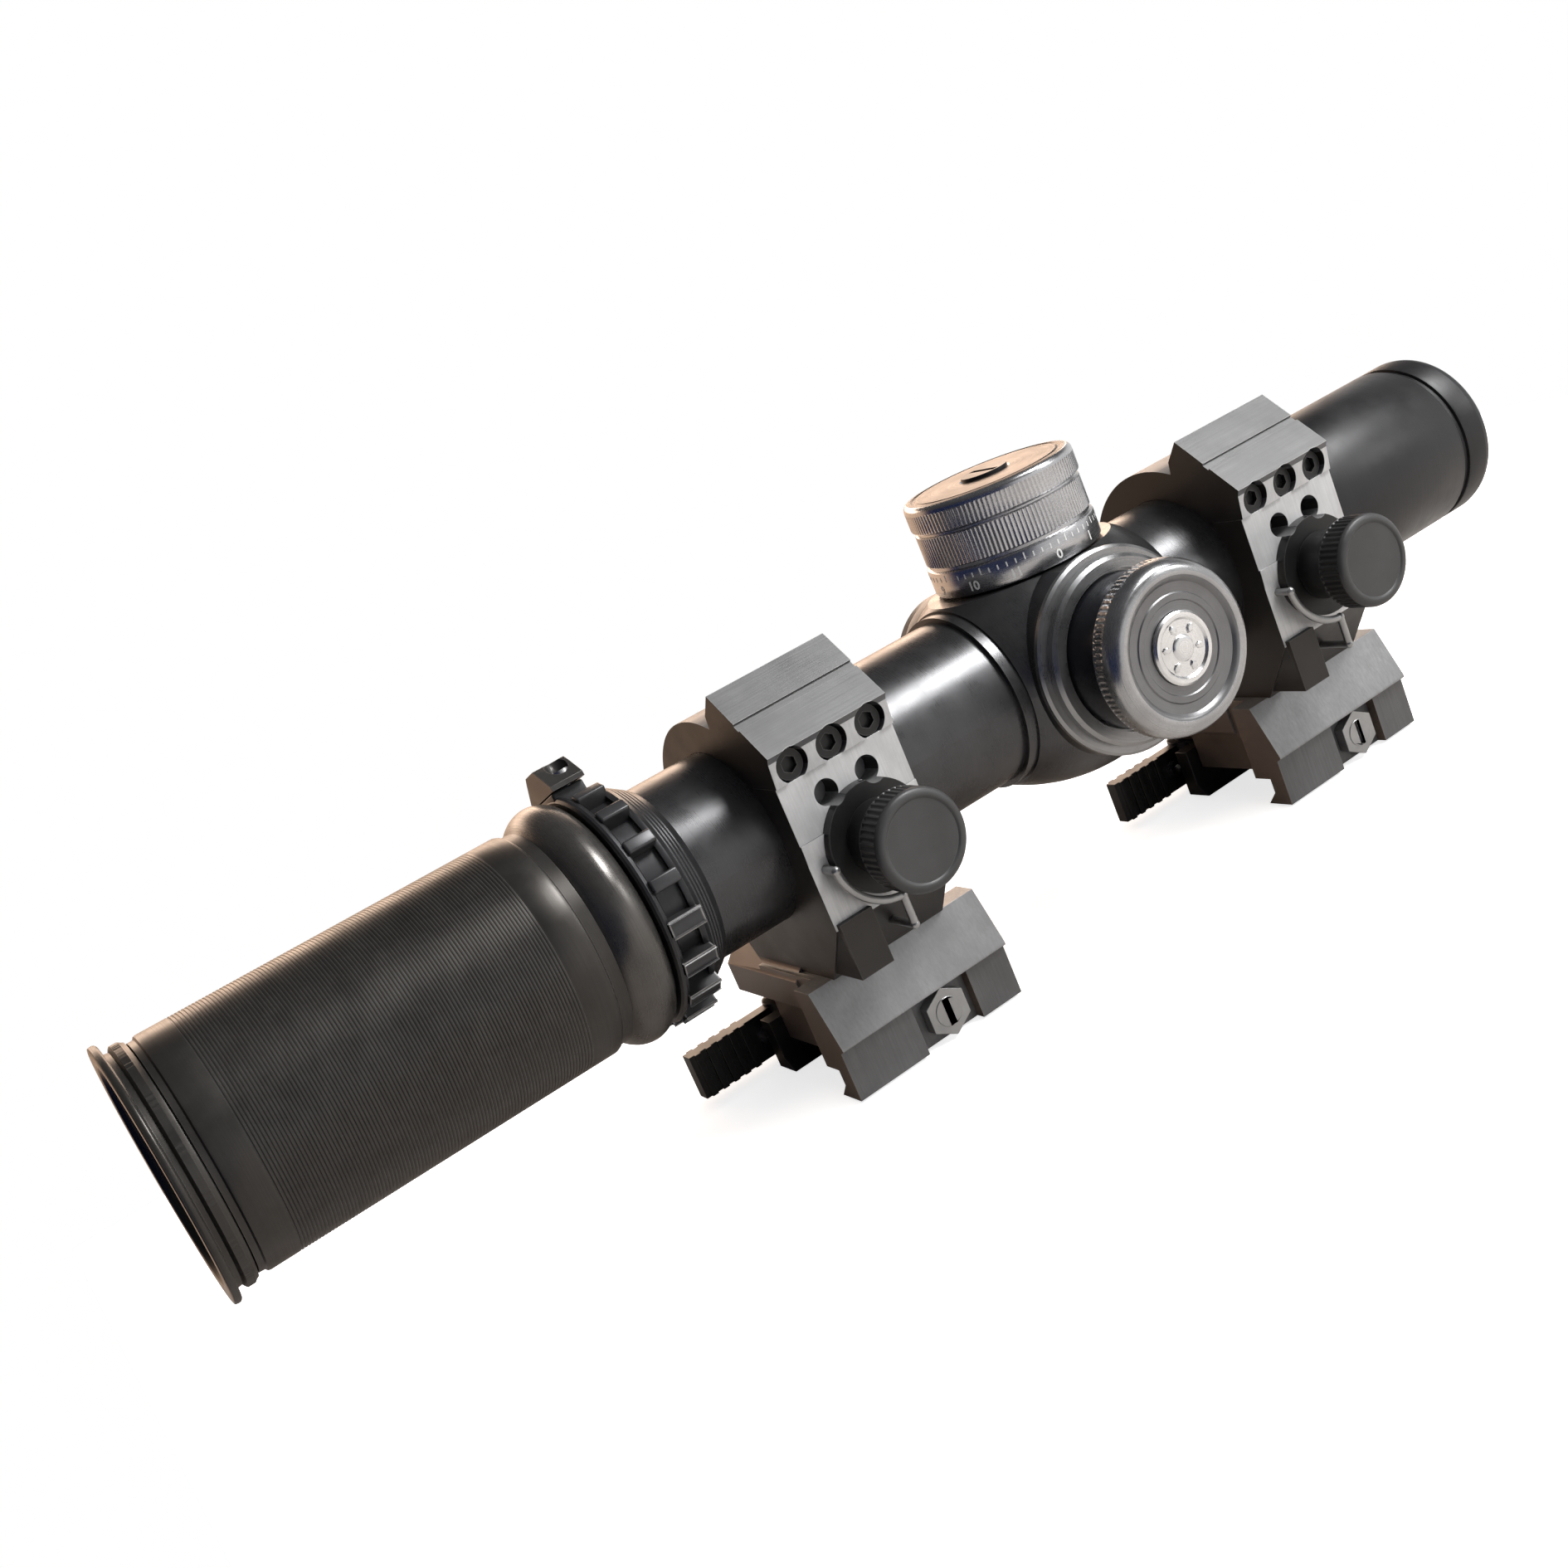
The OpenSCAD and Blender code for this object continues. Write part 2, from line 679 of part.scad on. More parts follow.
// The rail clamp's fixed half: a short deck over the rail and a longer bar with the claw on the near side
module rail_body() {
    slab_xz([[-rail_half + 0.3, 0], [rail_half - cut, 0], [rail_half - cut, 14], [-rail_half + 0.3, 14]],
            -deck_half, deck_half);
    slab_xz([[bar_x, 0], [rail_half, 0], [rail_half, -2.75], [rail_neck, -claw_drop],
             [base_x, -claw_drop], [base_x, 3.6], [base_x + 1, 4.1], [base_x + 1, 4.6],
             [11.6, 14], [bar_x, 14]], base_y0, base_y0 + base_len);
}

// Eight-sided housing that carries the throw lever on the far side
module lever_housing() {
    chamfer = 3.2;
    y0 = -13;
    y1 = 13;
    slab_yz([[y0 + chamfer, housing_z0], [y1 - chamfer, housing_z0], [y1, housing_z0 + chamfer],
             [y1, housing_z1 - chamfer], [y1 - chamfer, housing_z1], [y0 + chamfer, housing_z1],
             [y0, housing_z1 - chamfer], [y0, housing_z0 + chamfer]], housing_x0, 2);
}

module ring_base() {
    difference() {
        union() {
            ring_band(10, axis_h - 0.1);
            far_flange(axis_h - 0.1 - flange_t, axis_h - 0.1);
            riser();
            near_wall();
            rail_body();
            lever_housing();
            rod_x(boss_r, wall_x - cut, boss_face, knob_y, knob_z);
            block([12, -10.8, 15], [21, -4.6, 24.5]);
        }
        rod_y(tube_r + 0.02, -30, 30);
        rod_x(stud_r + fit, tube_r - 2, boss_face + cut, knob_y, knob_z);
        rod_x(bolt_r + fit, -30, base_x + 5, bolt_y, bolt_z);
        block([base_x - 1.9, bolt_y - 6, -claw_drop - cut], [base_x + 5, bolt_y + 5.6, 4]);
        clip_holes();
        for (y = [-3.6, 4.2]) rod_x(side_hole_r, wall_x - 4, boss_face + cut, y, side_hole_z);
        for (i = [-1 : 1]) {
            rod_x(1.22, tongue_x0 - cut, tongue_x1 + cut, i * cap_screw_step, near_screw_z);
            rod_z(1.22, axis_h - 8, axis_h + cut, far_screw_x, i * cap_screw_step);
        }
        rod_z(pivot_r + 0.01, housing_z0 - cut, housing_z0 + 8, pivot_x, pivot_y);
    }
}

module ring_cap() {
    difference() {
        union() {
            ring_band(axis_h, axis_h + band_r + 1);
            far_flange(axis_h, axis_h + flange_t);
            slab_xz([[0, axis_h + 12], [6.9, axis_h + 19.2], [7.3, 59.4], [pad_top[0], pad_top[1]],
                     [pad_low[0], pad_low[1]], [pad_low[0] - 0.5, 51.6], [wall_x + 0.4, seam_z],
                     [tongue_x0, seam_z], [10, axis_h + 8]], -half_ring, half_ring);
        }
        rod_y(tube_r + 0.02, -30, 30);
        block([tongue_x0 - fit, -20, 30], [30, 20, seam_z]);
        block([tongue_x0 - fit, -half_ring + 1.4, 30],
              [tongue_x1 + fit, half_ring - 1.4, tongue_z + 0.1]);
        for (i = [-1 : 1]) {
            rod_x(1.3, tongue_x1 - cut, 30, i * cap_screw_step, near_screw_z);
            rod_x(pocket_r, pocket_x, 30, i * cap_screw_step, near_screw_z);
            rod_z(1.3, 30, 60, far_screw_x, i * cap_screw_step);
        }
        pad_groove();
    }
}

// Shallow groove along the middle of the slanted pad
module pad_groove() {
    mid = (pad_top + pad_low) / 2;
    slope = atan2(pad_top[1] - pad_low[1], pad_low[0] - pad_top[0]);
    translate([mid[0], 0, mid[1]]) rotate([0, slope, 0])
        block([-0.7, -half_ring - cut, -0.4], [0.7, half_ring + cut, 1]);
}

module cap_screws() {
    for (i = [-1 : 1]) {
        difference() {
            union() {
                rod_x(1.2, tongue_x0 + 0.2, pocket_x + 0.2, i * cap_screw_step, near_screw_z);
                rod_x(near_head_r, pocket_x + 0.02, pocket_x + 1.6, i * cap_screw_step, near_screw_z);
            }
            hex_socket_x(2.4, pocket_x + 0.6, 21, i * cap_screw_step, near_screw_z);
        }
        difference() {
            union() {
                rod_z(1.2, axis_h - 7.5, flange_z + 0.2, far_screw_x, i * cap_screw_step);
                rod_z(far_head_r, flange_z + 0.02, flange_z + 2.2, far_screw_x, i * cap_screw_step);
            }
            translate([far_screw_x, i * cap_screw_step, flange_z + 1])
                cylinder(r = 1.15, h = 2, $fn = 6);
        }
    }
}

module lock_knob() {
    head = knob_x - 5.6;
    translate([0, knob_y, knob_z]) rotate([0, 90, 0]) rotate_extrude() polygon([
        [0, tube_r + 0.6], [stud_r, tube_r + 0.6], [stud_r, boss_face + 0.2],
        [knob_neck_r, boss_face + 0.2], [knob_neck_r, head - 0.4], [knob_r - 0.6, head],
        [knob_r, head + 0.6], [knob_r, knob_x - 0.9], [knob_r - 0.3, knob_x - 0.3], [knob_r - 1, knob_x],
        [knob_r - 1.6, knob_x], [knob_r - 1.9, knob_x - 0.3], [0, knob_x - 0.3]
    ]);
}

// Wire clip under the lock knob: an arc around it and one leg down to the base
module knob_clip() {
    end_y = clip_at(clip_end)[0];
    end_z = clip_at(clip_end)[1];
    translate([clip_x, knob_y, knob_z]) rotate([90, 0, 90]) rotate([0, 0, clip_start])
        rotate_extrude(angle = clip_end - clip_start) translate([clip_r, 0]) circle(r = wire_r, $fn = 32);
    rod_z(wire_r, clip_foot_z, end_z, clip_x, end_y);
    for (p = [clip_at(clip_start), clip_at(clip_end), [end_y, clip_foot_z]])
        translate([clip_x, p[0], p[1]]) sphere(r = elbow_r, $fn = 32);
    rod_x(wire_r, wall_x - 5, clip_x, end_y, clip_foot_z);
    rod_x(wire_r, wall_x - 1.5, clip_x, clip_at(clip_start)[0], clip_at(clip_start)[1]);
}

// Holes in the base for the clip's two ends
module clip_holes() {
    rod_x(wire_r + 0.02, wall_x - 5.1, clip_x, clip_at(clip_end)[0], clip_foot_z);
    rod_x(wire_r + 0.02, wall_x - 1.6, clip_x, clip_at(clip_start)[0], clip_at(clip_start)[1]);
}

module clamp_jaw() {
    difference() {
        slab_xz([[jaw_x0, -claw_drop], [-rail_neck, -claw_drop], [-rail_half - 0.05, -2.75],
                 [-rail_half - 0.05, 4.1], [jaw_x0, 4.1]], base_y0 + 1, base_y0 + base_len - 1);
        rod_x(bolt_r + fit, -30, 0, bolt_y, bolt_z);
    }
}

module cross_bolt() {
    difference() {
        union() {
            rod_x(bolt_r, jaw_x0 - 0.6, base_x + 0.3, bolt_y, bolt_z);
            translate([base_x - 1.85, bolt_y, bolt_z]) rotate([0, 90, 0])
                cylinder(r = 4.3, h = 2, $fn = 6);
        }
        block([base_x - 0.4, bolt_y - 0.5, bolt_z - 2.2], [base_x + 1, bolt_y + 0.5, bolt_z + 2.2]);
    }
}

module throw_lever() {
    tab_y0 = -28;
    grip_step = 2.3;
    tab_x0 = pivot_x - 1.3;
    tab_x1 = pivot_x + 1.3;
    difference() {
        union() {
            rod_z(hub_r, lever_z0, lever_z1, pivot_x, pivot_y);
            rod_z(2, lever_z0, lever_z1, pivot_x + 2.8, pivot_y);
            block([pivot_x, pivot_y - 2, lever_z0], [pivot_x + 2.8, pivot_y + 2, lever_z1]);
            block([tab_x0, tab_y0, lever_z0], [tab_x1, pivot_y, lever_z1 - 0.5]);
            for (i = [0 : 4])
                block([tab_x0 - 0.5, tab_y0 + 1 + grip_step * i, lever_z0],
                      [tab_x1 + 0.5, tab_y0 + 2.2 + grip_step * i, lever_z1 - 0.5]);
        }
        rod_z(pivot_r + fit, lever_z0 - cut, lever_z1 + cut, pivot_x, pivot_y);
        rod_x(0.82, tab_x0 - cut, tab_x1 + cut, lever_screw_y, 0);
    }
}

module lever_pin() {
    rod_z(pivot_r, lever_z0 + 0.2, housing_z0 + 7.8, pivot_x, pivot_y);
}

module lever_screw() {
    difference() {
        union() {
            rod_x(0.8, pivot_x - 1.2, pivot_x + 1.4, lever_screw_y, 0);
            rod_x(1.5, pivot_x + 1.32, pivot_x + 2.5, lever_screw_y, 0);
        }
        hex_socket_x(1.3, pivot_x + 1.9, pivot_x + 3, lever_screw_y, 0);
    }
}

module at_front() {
    translate([0, ring_pitch, 0]) children();
}

module rear_ring_base() { color(ring_grey) ring_base(); }
module rear_ring_cap() { color(ring_grey) ring_cap(); }
module rear_cap_screws() { color(black) cap_screws(); }
module rear_lock_knob() { color(black) lock_knob(); }
module rear_knob_clip() { color(steel) knob_clip(); }
module rear_clamp_jaw() { color(black) clamp_jaw(); }
module rear_cross_bolt() { color(steel) cross_bolt(); }
module rear_throw_lever() { color(black) throw_lever(); }
module rear_lever_pin() { color(steel) lever_pin(); }
module rear_lever_screw() { color(steel) lever_screw(); }
module front_ring_base() { color(ring_grey) at_front() ring_base(); }
module front_ring_cap() { color(ring_grey) at_front() ring_cap(); }
module front_cap_screws() { color(black) at_front() cap_screws(); }
module front_lock_knob() { color(black) at_front() lock_knob(); }
module front_knob_clip() { color(steel) at_front() knob_clip(); }
module front_clamp_jaw() { color(black) at_front() clamp_jaw(); }
module front_cross_bolt() { color(steel) at_front() cross_bolt(); }
module front_throw_lever() { color(black) at_front() throw_lever(); }
module front_lever_pin() { color(steel) at_front() lever_pin(); }
module front_lever_screw() { color(steel) at_front() lever_screw(); }

main_tube();
objective_bell();
objective_lens();
objective_retainer();
front_bezel();
eyepiece_housing();
eyepiece_collar();
diopter_ring();
ocular_cell();
ocular_lens();
field_lens();
field_retainer();
magnification_ring();
zoom_lever();
zoom_lever_screw();
drive_screw();
gimbal_ring();
erector_tube();
cam_tube();
front_lens_cell();
front_erector_lens();
rear_lens_cell();
rear_erector_lens();
reticle();
erector_spring();
elevation_seat();
elevation_seal();
elevation_knob();
elevation_screw();
elevation_lock_screw();
windage_seat();
windage_knob();
windage_screw();
windage_medallion();
illumination_seat();
illumination_knob();
battery();
battery_cap();
rear_ring_base();
rear_ring_cap();
rear_cap_screws();
rear_lock_knob();
rear_knob_clip();
rear_clamp_jaw();
rear_cross_bolt();
rear_throw_lever();
rear_lever_pin();
rear_lever_screw();
front_ring_base();
front_ring_cap();
front_cap_screws();
front_lock_knob();
front_knob_clip();
front_clamp_jaw();
front_cross_bolt();
front_throw_lever();
front_lever_pin();
front_lever_screw();
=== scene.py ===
"""Looks, light and camera for a telescopic sight in two quick-detach ring mounts.

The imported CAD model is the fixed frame. Turned parts get fine ribs, knurls and dial marks
as new meshes in the same place, and milled parts get their edges broken.
Lengths in the tables below are in millimetres.
"""

import json
import math

import bmesh
import bpy
from mathutils import Matrix, Vector

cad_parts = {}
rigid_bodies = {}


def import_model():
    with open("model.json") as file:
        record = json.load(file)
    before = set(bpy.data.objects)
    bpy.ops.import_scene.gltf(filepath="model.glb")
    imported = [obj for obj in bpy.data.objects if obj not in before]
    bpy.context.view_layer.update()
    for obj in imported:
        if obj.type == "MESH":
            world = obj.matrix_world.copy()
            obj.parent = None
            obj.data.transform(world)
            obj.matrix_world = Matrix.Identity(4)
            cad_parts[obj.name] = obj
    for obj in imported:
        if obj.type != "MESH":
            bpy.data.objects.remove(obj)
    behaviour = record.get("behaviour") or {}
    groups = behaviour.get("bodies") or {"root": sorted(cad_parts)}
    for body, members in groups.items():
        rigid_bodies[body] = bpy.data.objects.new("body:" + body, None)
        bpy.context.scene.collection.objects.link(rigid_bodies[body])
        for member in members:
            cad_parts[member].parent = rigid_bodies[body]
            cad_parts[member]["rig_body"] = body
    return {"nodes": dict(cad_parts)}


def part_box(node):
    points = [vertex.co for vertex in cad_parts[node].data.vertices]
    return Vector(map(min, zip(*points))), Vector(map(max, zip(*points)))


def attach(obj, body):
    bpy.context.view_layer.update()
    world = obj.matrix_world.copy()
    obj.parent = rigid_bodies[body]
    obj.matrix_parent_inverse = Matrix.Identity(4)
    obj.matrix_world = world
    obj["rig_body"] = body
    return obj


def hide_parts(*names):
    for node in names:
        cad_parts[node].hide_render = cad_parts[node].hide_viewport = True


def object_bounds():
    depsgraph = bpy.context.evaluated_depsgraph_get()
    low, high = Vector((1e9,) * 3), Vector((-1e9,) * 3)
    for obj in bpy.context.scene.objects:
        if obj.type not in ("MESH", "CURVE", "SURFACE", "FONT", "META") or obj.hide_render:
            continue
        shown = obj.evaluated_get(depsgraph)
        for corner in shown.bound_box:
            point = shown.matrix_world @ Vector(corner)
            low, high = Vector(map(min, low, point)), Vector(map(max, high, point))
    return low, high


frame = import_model()
CAD_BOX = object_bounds()

MM = 0.001
RING_NAMES = ("rear", "front")


# ---------- places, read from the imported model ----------


def low(node):
    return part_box(node)[0] / MM


def high(node):
    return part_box(node)[1] / MM


def middle(node):
    return (low(node) + high(node)) / 2


AXIS_Z = middle("objective_bell").z
EYE_Y = low("diopter_ring").y
RIM_R = high("diopter_ring").x
BARREL_Y0 = high("diopter_ring").y + 0.2
BARREL_Y1 = low("eyepiece_collar").y - 0.05
BARREL_R = high("eyepiece_housing").x
COLLAR_R = high("eyepiece_collar").x
COLLAR_Y1 = high("eyepiece_collar").y
TUBE_FIT_R = 15.02
TUBE_END_Y = -49.6
EYE_BORE_R = 16.0
FRONT_Y = high("front_bezel").y
BELL_R = high("objective_bell").x
BELL_Y0 = low("objective_bell").y
BELL_BORE_R = 14.22
BELL_STEP_Y = 119.3
TURRET_Y = middle("elevation_knob").y
ELEVATION_R = high("elevation_knob").x
ELEVATION_Z0 = low("elevation_knob").z
ELEVATION_Z1 = high("elevation_knob").z
WINDAGE_X0 = low("windage_knob").x
WINDAGE_X1 = high("windage_knob").x
WINDAGE_R = high("windage_knob").z - AXIS_Z


# ---------- materials ----------

MARKS_PER_METRE = 7000.0

class Shader:
    """A Principled material whose colour, roughness and bump come from procedural nodes."""

    def __init__(self, name, metallic=0.0, **sockets):
        self.material = bpy.data.materials.new(name)
        self.material.use_nodes = True
        self.tree = self.material.node_tree
        self.surface = self.tree.nodes["Principled BSDF"]
        self.surface.inputs["Metallic"].default_value = metallic
        for key, value in sockets.items():
            self.surface.inputs[key.replace("_", " ")].default_value = value
        self.place = self.add("ShaderNodeTexCoord").outputs["Object"]
        self.height = None

    def add(self, kind, **settings):
        node = self.tree.nodes.new(kind)
        for key, value in settings.items():
            setattr(node, key, value)
        return node

    def feed(self, socket, value):
        if hasattr(value, "is_output"):
            self.tree.links.new(value, socket)
        else:
            socket.default_value = value

    def maths(self, operation, a, b=0.0):
        node = self.add("ShaderNodeMath", operation=operation)
        self.feed(node.inputs[0], a)
        self.feed(node.inputs[1], b)
        return node.outputs[0]

    def stretched(self, scale):
        node = self.add("ShaderNodeVectorMath", operation="MULTIPLY")
        self.feed(node.inputs[0], self.place)
        node.inputs[1].default_value = scale
        return node.outputs[0]

    def around(self, centre, axis, radial, along):
        """Coordinates that repeat round an axis, for the fine rings that turning leaves."""
        split = self.add("ShaderNodeSeparateXYZ")
        self.feed(split.inputs[0], self.place)
        parts = [split.outputs[i] for i in range(3)]
        squares = [
            self.maths("POWER", self.maths("SUBTRACT", parts[i], centre[i] * MM), 2.0)
            for i in range(3)
            if i != axis
        ]
        radius = self.maths("SQRT", self.maths("ADD", squares[0], squares[1]))
        join = self.add("ShaderNodeCombineXYZ")
        self.feed(join.inputs[0], self.maths("MULTIPLY", radius, radial))
        self.feed(join.inputs[1], self.maths("MULTIPLY", parts[axis], along))
        return join.outputs[0]

    def noise(self, where, scale, detail=3.0, rough=0.5):
        node = self.add("ShaderNodeTexNoise")
        self.feed(node.inputs["Vector"], where)
        node.inputs["Scale"].default_value = scale
        node.inputs["Detail"].default_value = detail
        node.inputs["Roughness"].default_value = rough
        return node.outputs["Fac"]

    def ramp(self, value, low_to, high_to, start=0.3, end=0.7):
        node = self.add("ShaderNodeMapRange")
        self.feed(node.inputs["Value"], value)
        node.inputs["From Min"].default_value = start
        node.inputs["From Max"].default_value = end
        node.inputs["To Min"].default_value = low_to
        node.inputs["To Max"].default_value = high_to
        return node.outputs["Result"]

    def blend(self, factor, a, b):
        node = self.add("ShaderNodeMix", data_type="RGBA")
        self.feed(node.inputs["Factor"], factor)
        self.feed(node.inputs[6], a)
        self.feed(node.inputs[7], b)
        return node.outputs[2]

    def edges(self, radius):
        """Nearly 0 on open faces and 1 along outside and inside edges."""
        worn = self.add("ShaderNodeBevel", samples=4)
        worn.inputs["Radius"].default_value = radius * MM
        plain = self.add("ShaderNodeNewGeometry").outputs["Normal"]
        dot = self.add("ShaderNodeVectorMath", operation="DOT_PRODUCT")
        self.feed(dot.inputs[0], worn.outputs["Normal"])
        self.feed(dot.inputs[1], plain)
        return self.ramp(dot.outputs["Value"], 1.0, 0.0, 0.72, 0.97)

    def bump(self, height, strength, distance):
        node = self.add("ShaderNodeBump")
        node.inputs["Strength"].default_value = strength
        node.inputs["Distance"].default_value = distance * MM
        self.feed(node.inputs["Height"], height)
        if self.height is not None:
            self.feed(node.inputs["Normal"], self.height)
        self.height = node.outputs["Normal"]
        self.feed(self.surface.inputs["Normal"], self.height)

    def colour(self, value):
        self.feed(self.surface.inputs["Base Color"], value)

    def roughness(self, value):
        self.feed(self.surface.inputs["Roughness"], value)


def rgba(colour, gain=1.0):
    """A colour as a socket takes it, made lighter or darker by gain."""
    return tuple(min(1.0, c * gain) for c in colour) + (1.0,)


def anodised(name, colour, rough, metallic, grain=0.35, wear=0.0, marks=None, edge=0.25,
             edge_colour=(0.5, 0.49, 0.48)):
    """Blasted and anodised aluminium: soft cloudy colour, fine grain, and brighter worn edges.
    grain is the depth of the grain and wear how much of an edge is worn over the width edge in mm.
    marks gives lines left by turning about an axis, or by milling."""
    s = Shader(name, metallic)
    cloud = s.noise(s.place, 160.0, 4.0, 0.6)
    speck = s.noise(s.place, 9000.0, 2.0)
    base = s.blend(s.ramp(cloud, 0.0, 1.0), rgba(colour, 0.86), rgba(colour, 1.16))
    level = s.ramp(cloud, rough - 0.05, rough + 0.06)
    if marks:
        where, strength = marks(s)
        lines = s.noise(where, 1.0, 3.0, 0.65)
        base = s.blend(s.ramp(lines, 0.0, 0.5), base, rgba(colour, 0.7))
        level = s.maths("ADD", level, s.ramp(lines, -0.05, 0.05))
        s.bump(lines, strength, 0.02)
    s.bump(speck, grain, 0.012)
    if wear:
        patches = s.ramp(s.noise(s.place, 420.0, 5.0, 0.7), 0.2, wear)
        mask = s.maths("MULTIPLY", s.edges(edge), patches)
        base = s.blend(mask, base, rgba(edge_colour))
    s.colour(base)
    s.roughness(level)
    return s.material


def turned_marks(centre, axis, strength):
    """Fine rings round an axis through centre."""
    return lambda s: (s.around(centre, axis, MARKS_PER_METRE, MARKS_PER_METRE), strength)


def milled_marks(strength):
    """Lines along Y."""
    return lambda s: (s.stretched((3200.0, 60.0, 3200.0)), strength)


def side_marks(strength):
    """Lines along Z."""
    return lambda s: (s.stretched((2200.0, 2200.0, 90.0)), strength)


def coated_glass(name, tint, sheen):
    """Coated lens: dark and clear in the middle of a view, blue where it catches light."""
    s = Shader(name, 0.0, IOR=1.52)
    s.surface.inputs["Transmission Weight"].default_value = 0.55
    s.surface.inputs["Coat Weight"].default_value = 0.9
    s.surface.inputs["Coat Tint"].default_value = rgba(sheen)
    s.surface.inputs["Coat Roughness"].default_value = 0.03
    dust = s.noise(s.place, 2600.0, 6.0, 0.7)
    s.colour(s.blend(s.ramp(s.noise(s.place, 60.0), 0.0, 1.0), rgba(tint, 0.8), rgba(tint, 1.3)))
    s.roughness(s.ramp(dust, 0.02, 0.09, 0.45, 0.8))
    return s.material


def make_materials():
    """Every material, by name; most colours, roughness and metallic values match a finish, and a few
    colours are painted shade or a painted highlight.
    """
    centre = (0.0, TURRET_Y, AXIS_Z)
    tube = turned_marks(centre, 1, 0.25)
    soft_tube = turned_marks(centre, 1, 0.1)
    upright = turned_marks(centre, 2, 0.1)
    sideways = turned_marks(centre, 0, 0.1)
    return {
        "tube_black": anodised("tube_black", (0.075, 0.075, 0.077), 0.3, 0.8, 0.2, 0.08, tube),
        "saddle_black": anodised("saddle_black", (0.03, 0.03, 0.031), 0.34, 0.6, 0.35, 0.15),
        "eyepiece_black": anodised("eyepiece_black", (0.05, 0.046, 0.042), 0.36, 0.7, 0.08, 0.04,
                                   soft_tube),
        "collar_black": anodised("collar_black", (0.1, 0.094, 0.088), 0.3, 0.75, 0.2, 0.06, tube),
        "zoom_black": anodised("zoom_black", (0.035, 0.035, 0.037), 0.34, 0.6, 0.25, 0.2, tube),
        "zoom_rib": anodised("zoom_rib", (0.05, 0.05, 0.052), 0.34, 0.6, 0.2, 0.55),
        "lever_black": anodised("lever_black", (0.04, 0.038, 0.036), 0.36, 0.5, 0.3, 0.5, None, 0.25,
                                (0.3, 0.27, 0.24)),
        "bell_black": anodised("bell_black", (0.018, 0.018, 0.019), 0.4, 0.4, 0.4, 0.15, tube),
        "knob_grey": anodised("knob_grey", (0.5, 0.5, 0.51), 0.24, 0.95, 0.05, 0.05, upright),
        "knob_top": anodised("knob_top", (0.1, 0.08, 0.066), 0.4, 0.7, 0.1, 0.2, upright),
        "windage_silver": anodised("windage_silver", (0.42, 0.42, 0.425), 0.26, 0.95, 0.05, 0.05,
                                   sideways),
        "windage_face": anodised("windage_face", (0.2, 0.2, 0.203), 0.36, 0.85, 0.3, 0.2, sideways),
        "windage_flange": anodised("windage_flange", (0.3, 0.3, 0.303), 0.3, 0.9, 0.2, 0.15, sideways),
        "windage_neck": anodised("windage_neck", (0.02, 0.021, 0.026), 0.3, 0.5, 0.2, 0.1, sideways),
        "badge": anodised("badge", (0.8, 0.8, 0.8), 0.25, 1.0, 0.1, 0.1, sideways),
        "side_black": anodised("side_black", (0.04, 0.04, 0.042), 0.33, 0.6, 0.3, 0.2, sideways),
        "ring_grey": anodised("ring_grey", (0.12, 0.12, 0.122), 0.42, 0.4, 0.5, 0.55,
                              milled_marks(0.3), 0.3, (0.42, 0.41, 0.4)),
        "ring_pad": anodised("ring_pad", (0.11, 0.11, 0.11), 0.42, 0.4, 0.5, 0.4, milled_marks(0.8), 0.3,
                             (0.4, 0.39, 0.38)),
        "base_grey": anodised("base_grey", (0.22, 0.22, 0.222), 0.4, 0.45, 0.5, 0.5, side_marks(0.25), 0.3,
                              (0.42, 0.41, 0.4)),
        # Painted highlight: light grey for the side walls' outward faces, standing for the light they
        # catch.
        "wall_painted_highlight": anodised("wall_painted_highlight", (0.5, 0.5, 0.5), 0.42, 0.4, 0.5, 0.3, side_marks(0.2), 0.3,
                                (0.5, 0.49, 0.48)),
        # Painted shade: darker grey for the foot's claw and end faces.
        "foot_painted_shade": anodised("foot_painted_shade", (0.11, 0.11, 0.111), 0.45, 0.4, 0.5, 0.3, side_marks(0.25), 0.3,
                             (0.3, 0.3, 0.29)),
        # Painted shade: near-black for the rings' end faces and recesses, where shade falls.
        "ring_painted_shade": anodised("ring_painted_shade", (0.026, 0.023, 0.021), 0.44, 0.35, 0.5, 0.25, None, 0.3,
                             (0.25, 0.23, 0.21)),
        # Painted shade with a painted warm reflection: dark brown for the foot's rear and far-side faces.
        "painted_warm_shade": anodised("painted_warm_shade", (0.13, 0.098, 0.078), 0.44, 0.35, 0.5, 0.3, None, 0.3,
                                  (0.25, 0.22, 0.2)),
        "black_metal": anodised("black_metal", (0.012, 0.012, 0.012), 0.38, 0.3, 0.4, 0.15),
        "knob_face": anodised("knob_face", (0.045, 0.045, 0.045), 0.44, 0.3, 0.6, 0.3),
        "steel": anodised("steel", (0.5, 0.5, 0.5), 0.28, 1.0, 0.2, 0.2),
        "dark_steel": anodised("dark_steel", (0.34, 0.34, 0.34), 0.34, 0.9, 0.2, 0.4),
        "brass": anodised("brass", (0.6, 0.45, 0.2), 0.3, 1.0, 0.2, 0.2, tube, 0.25, (0.8, 0.65, 0.35)),
        # Black for the parts inside the tube, and painted shade on the recessed faces of ring bases and
        # caps.
        "inner_black": anodised("inner_black", (0.012, 0.012, 0.013), 0.6, 0.1, 0.5),
        "seal": anodised("seal", (0.015, 0.015, 0.015), 0.7, 0.0, 0.6),
        "dial_paint": anodised("dial_paint", (0.7, 0.7, 0.68), 0.5, 0.0, 0.4),
        "glass": coated_glass("glass", (0.3, 0.38, 0.6), (0.45, 0.6, 1.0)),
    }


MATERIALS = make_materials()


# ---------- meshes ----------

AXES = {"x": 0, "y": 1, "z": 2}
SMOOTH_TURNED = math.radians(32.0)
SMOOTH_MILLED = math.radians(40.0)
SHARP_ANGLE = math.radians(28.0)


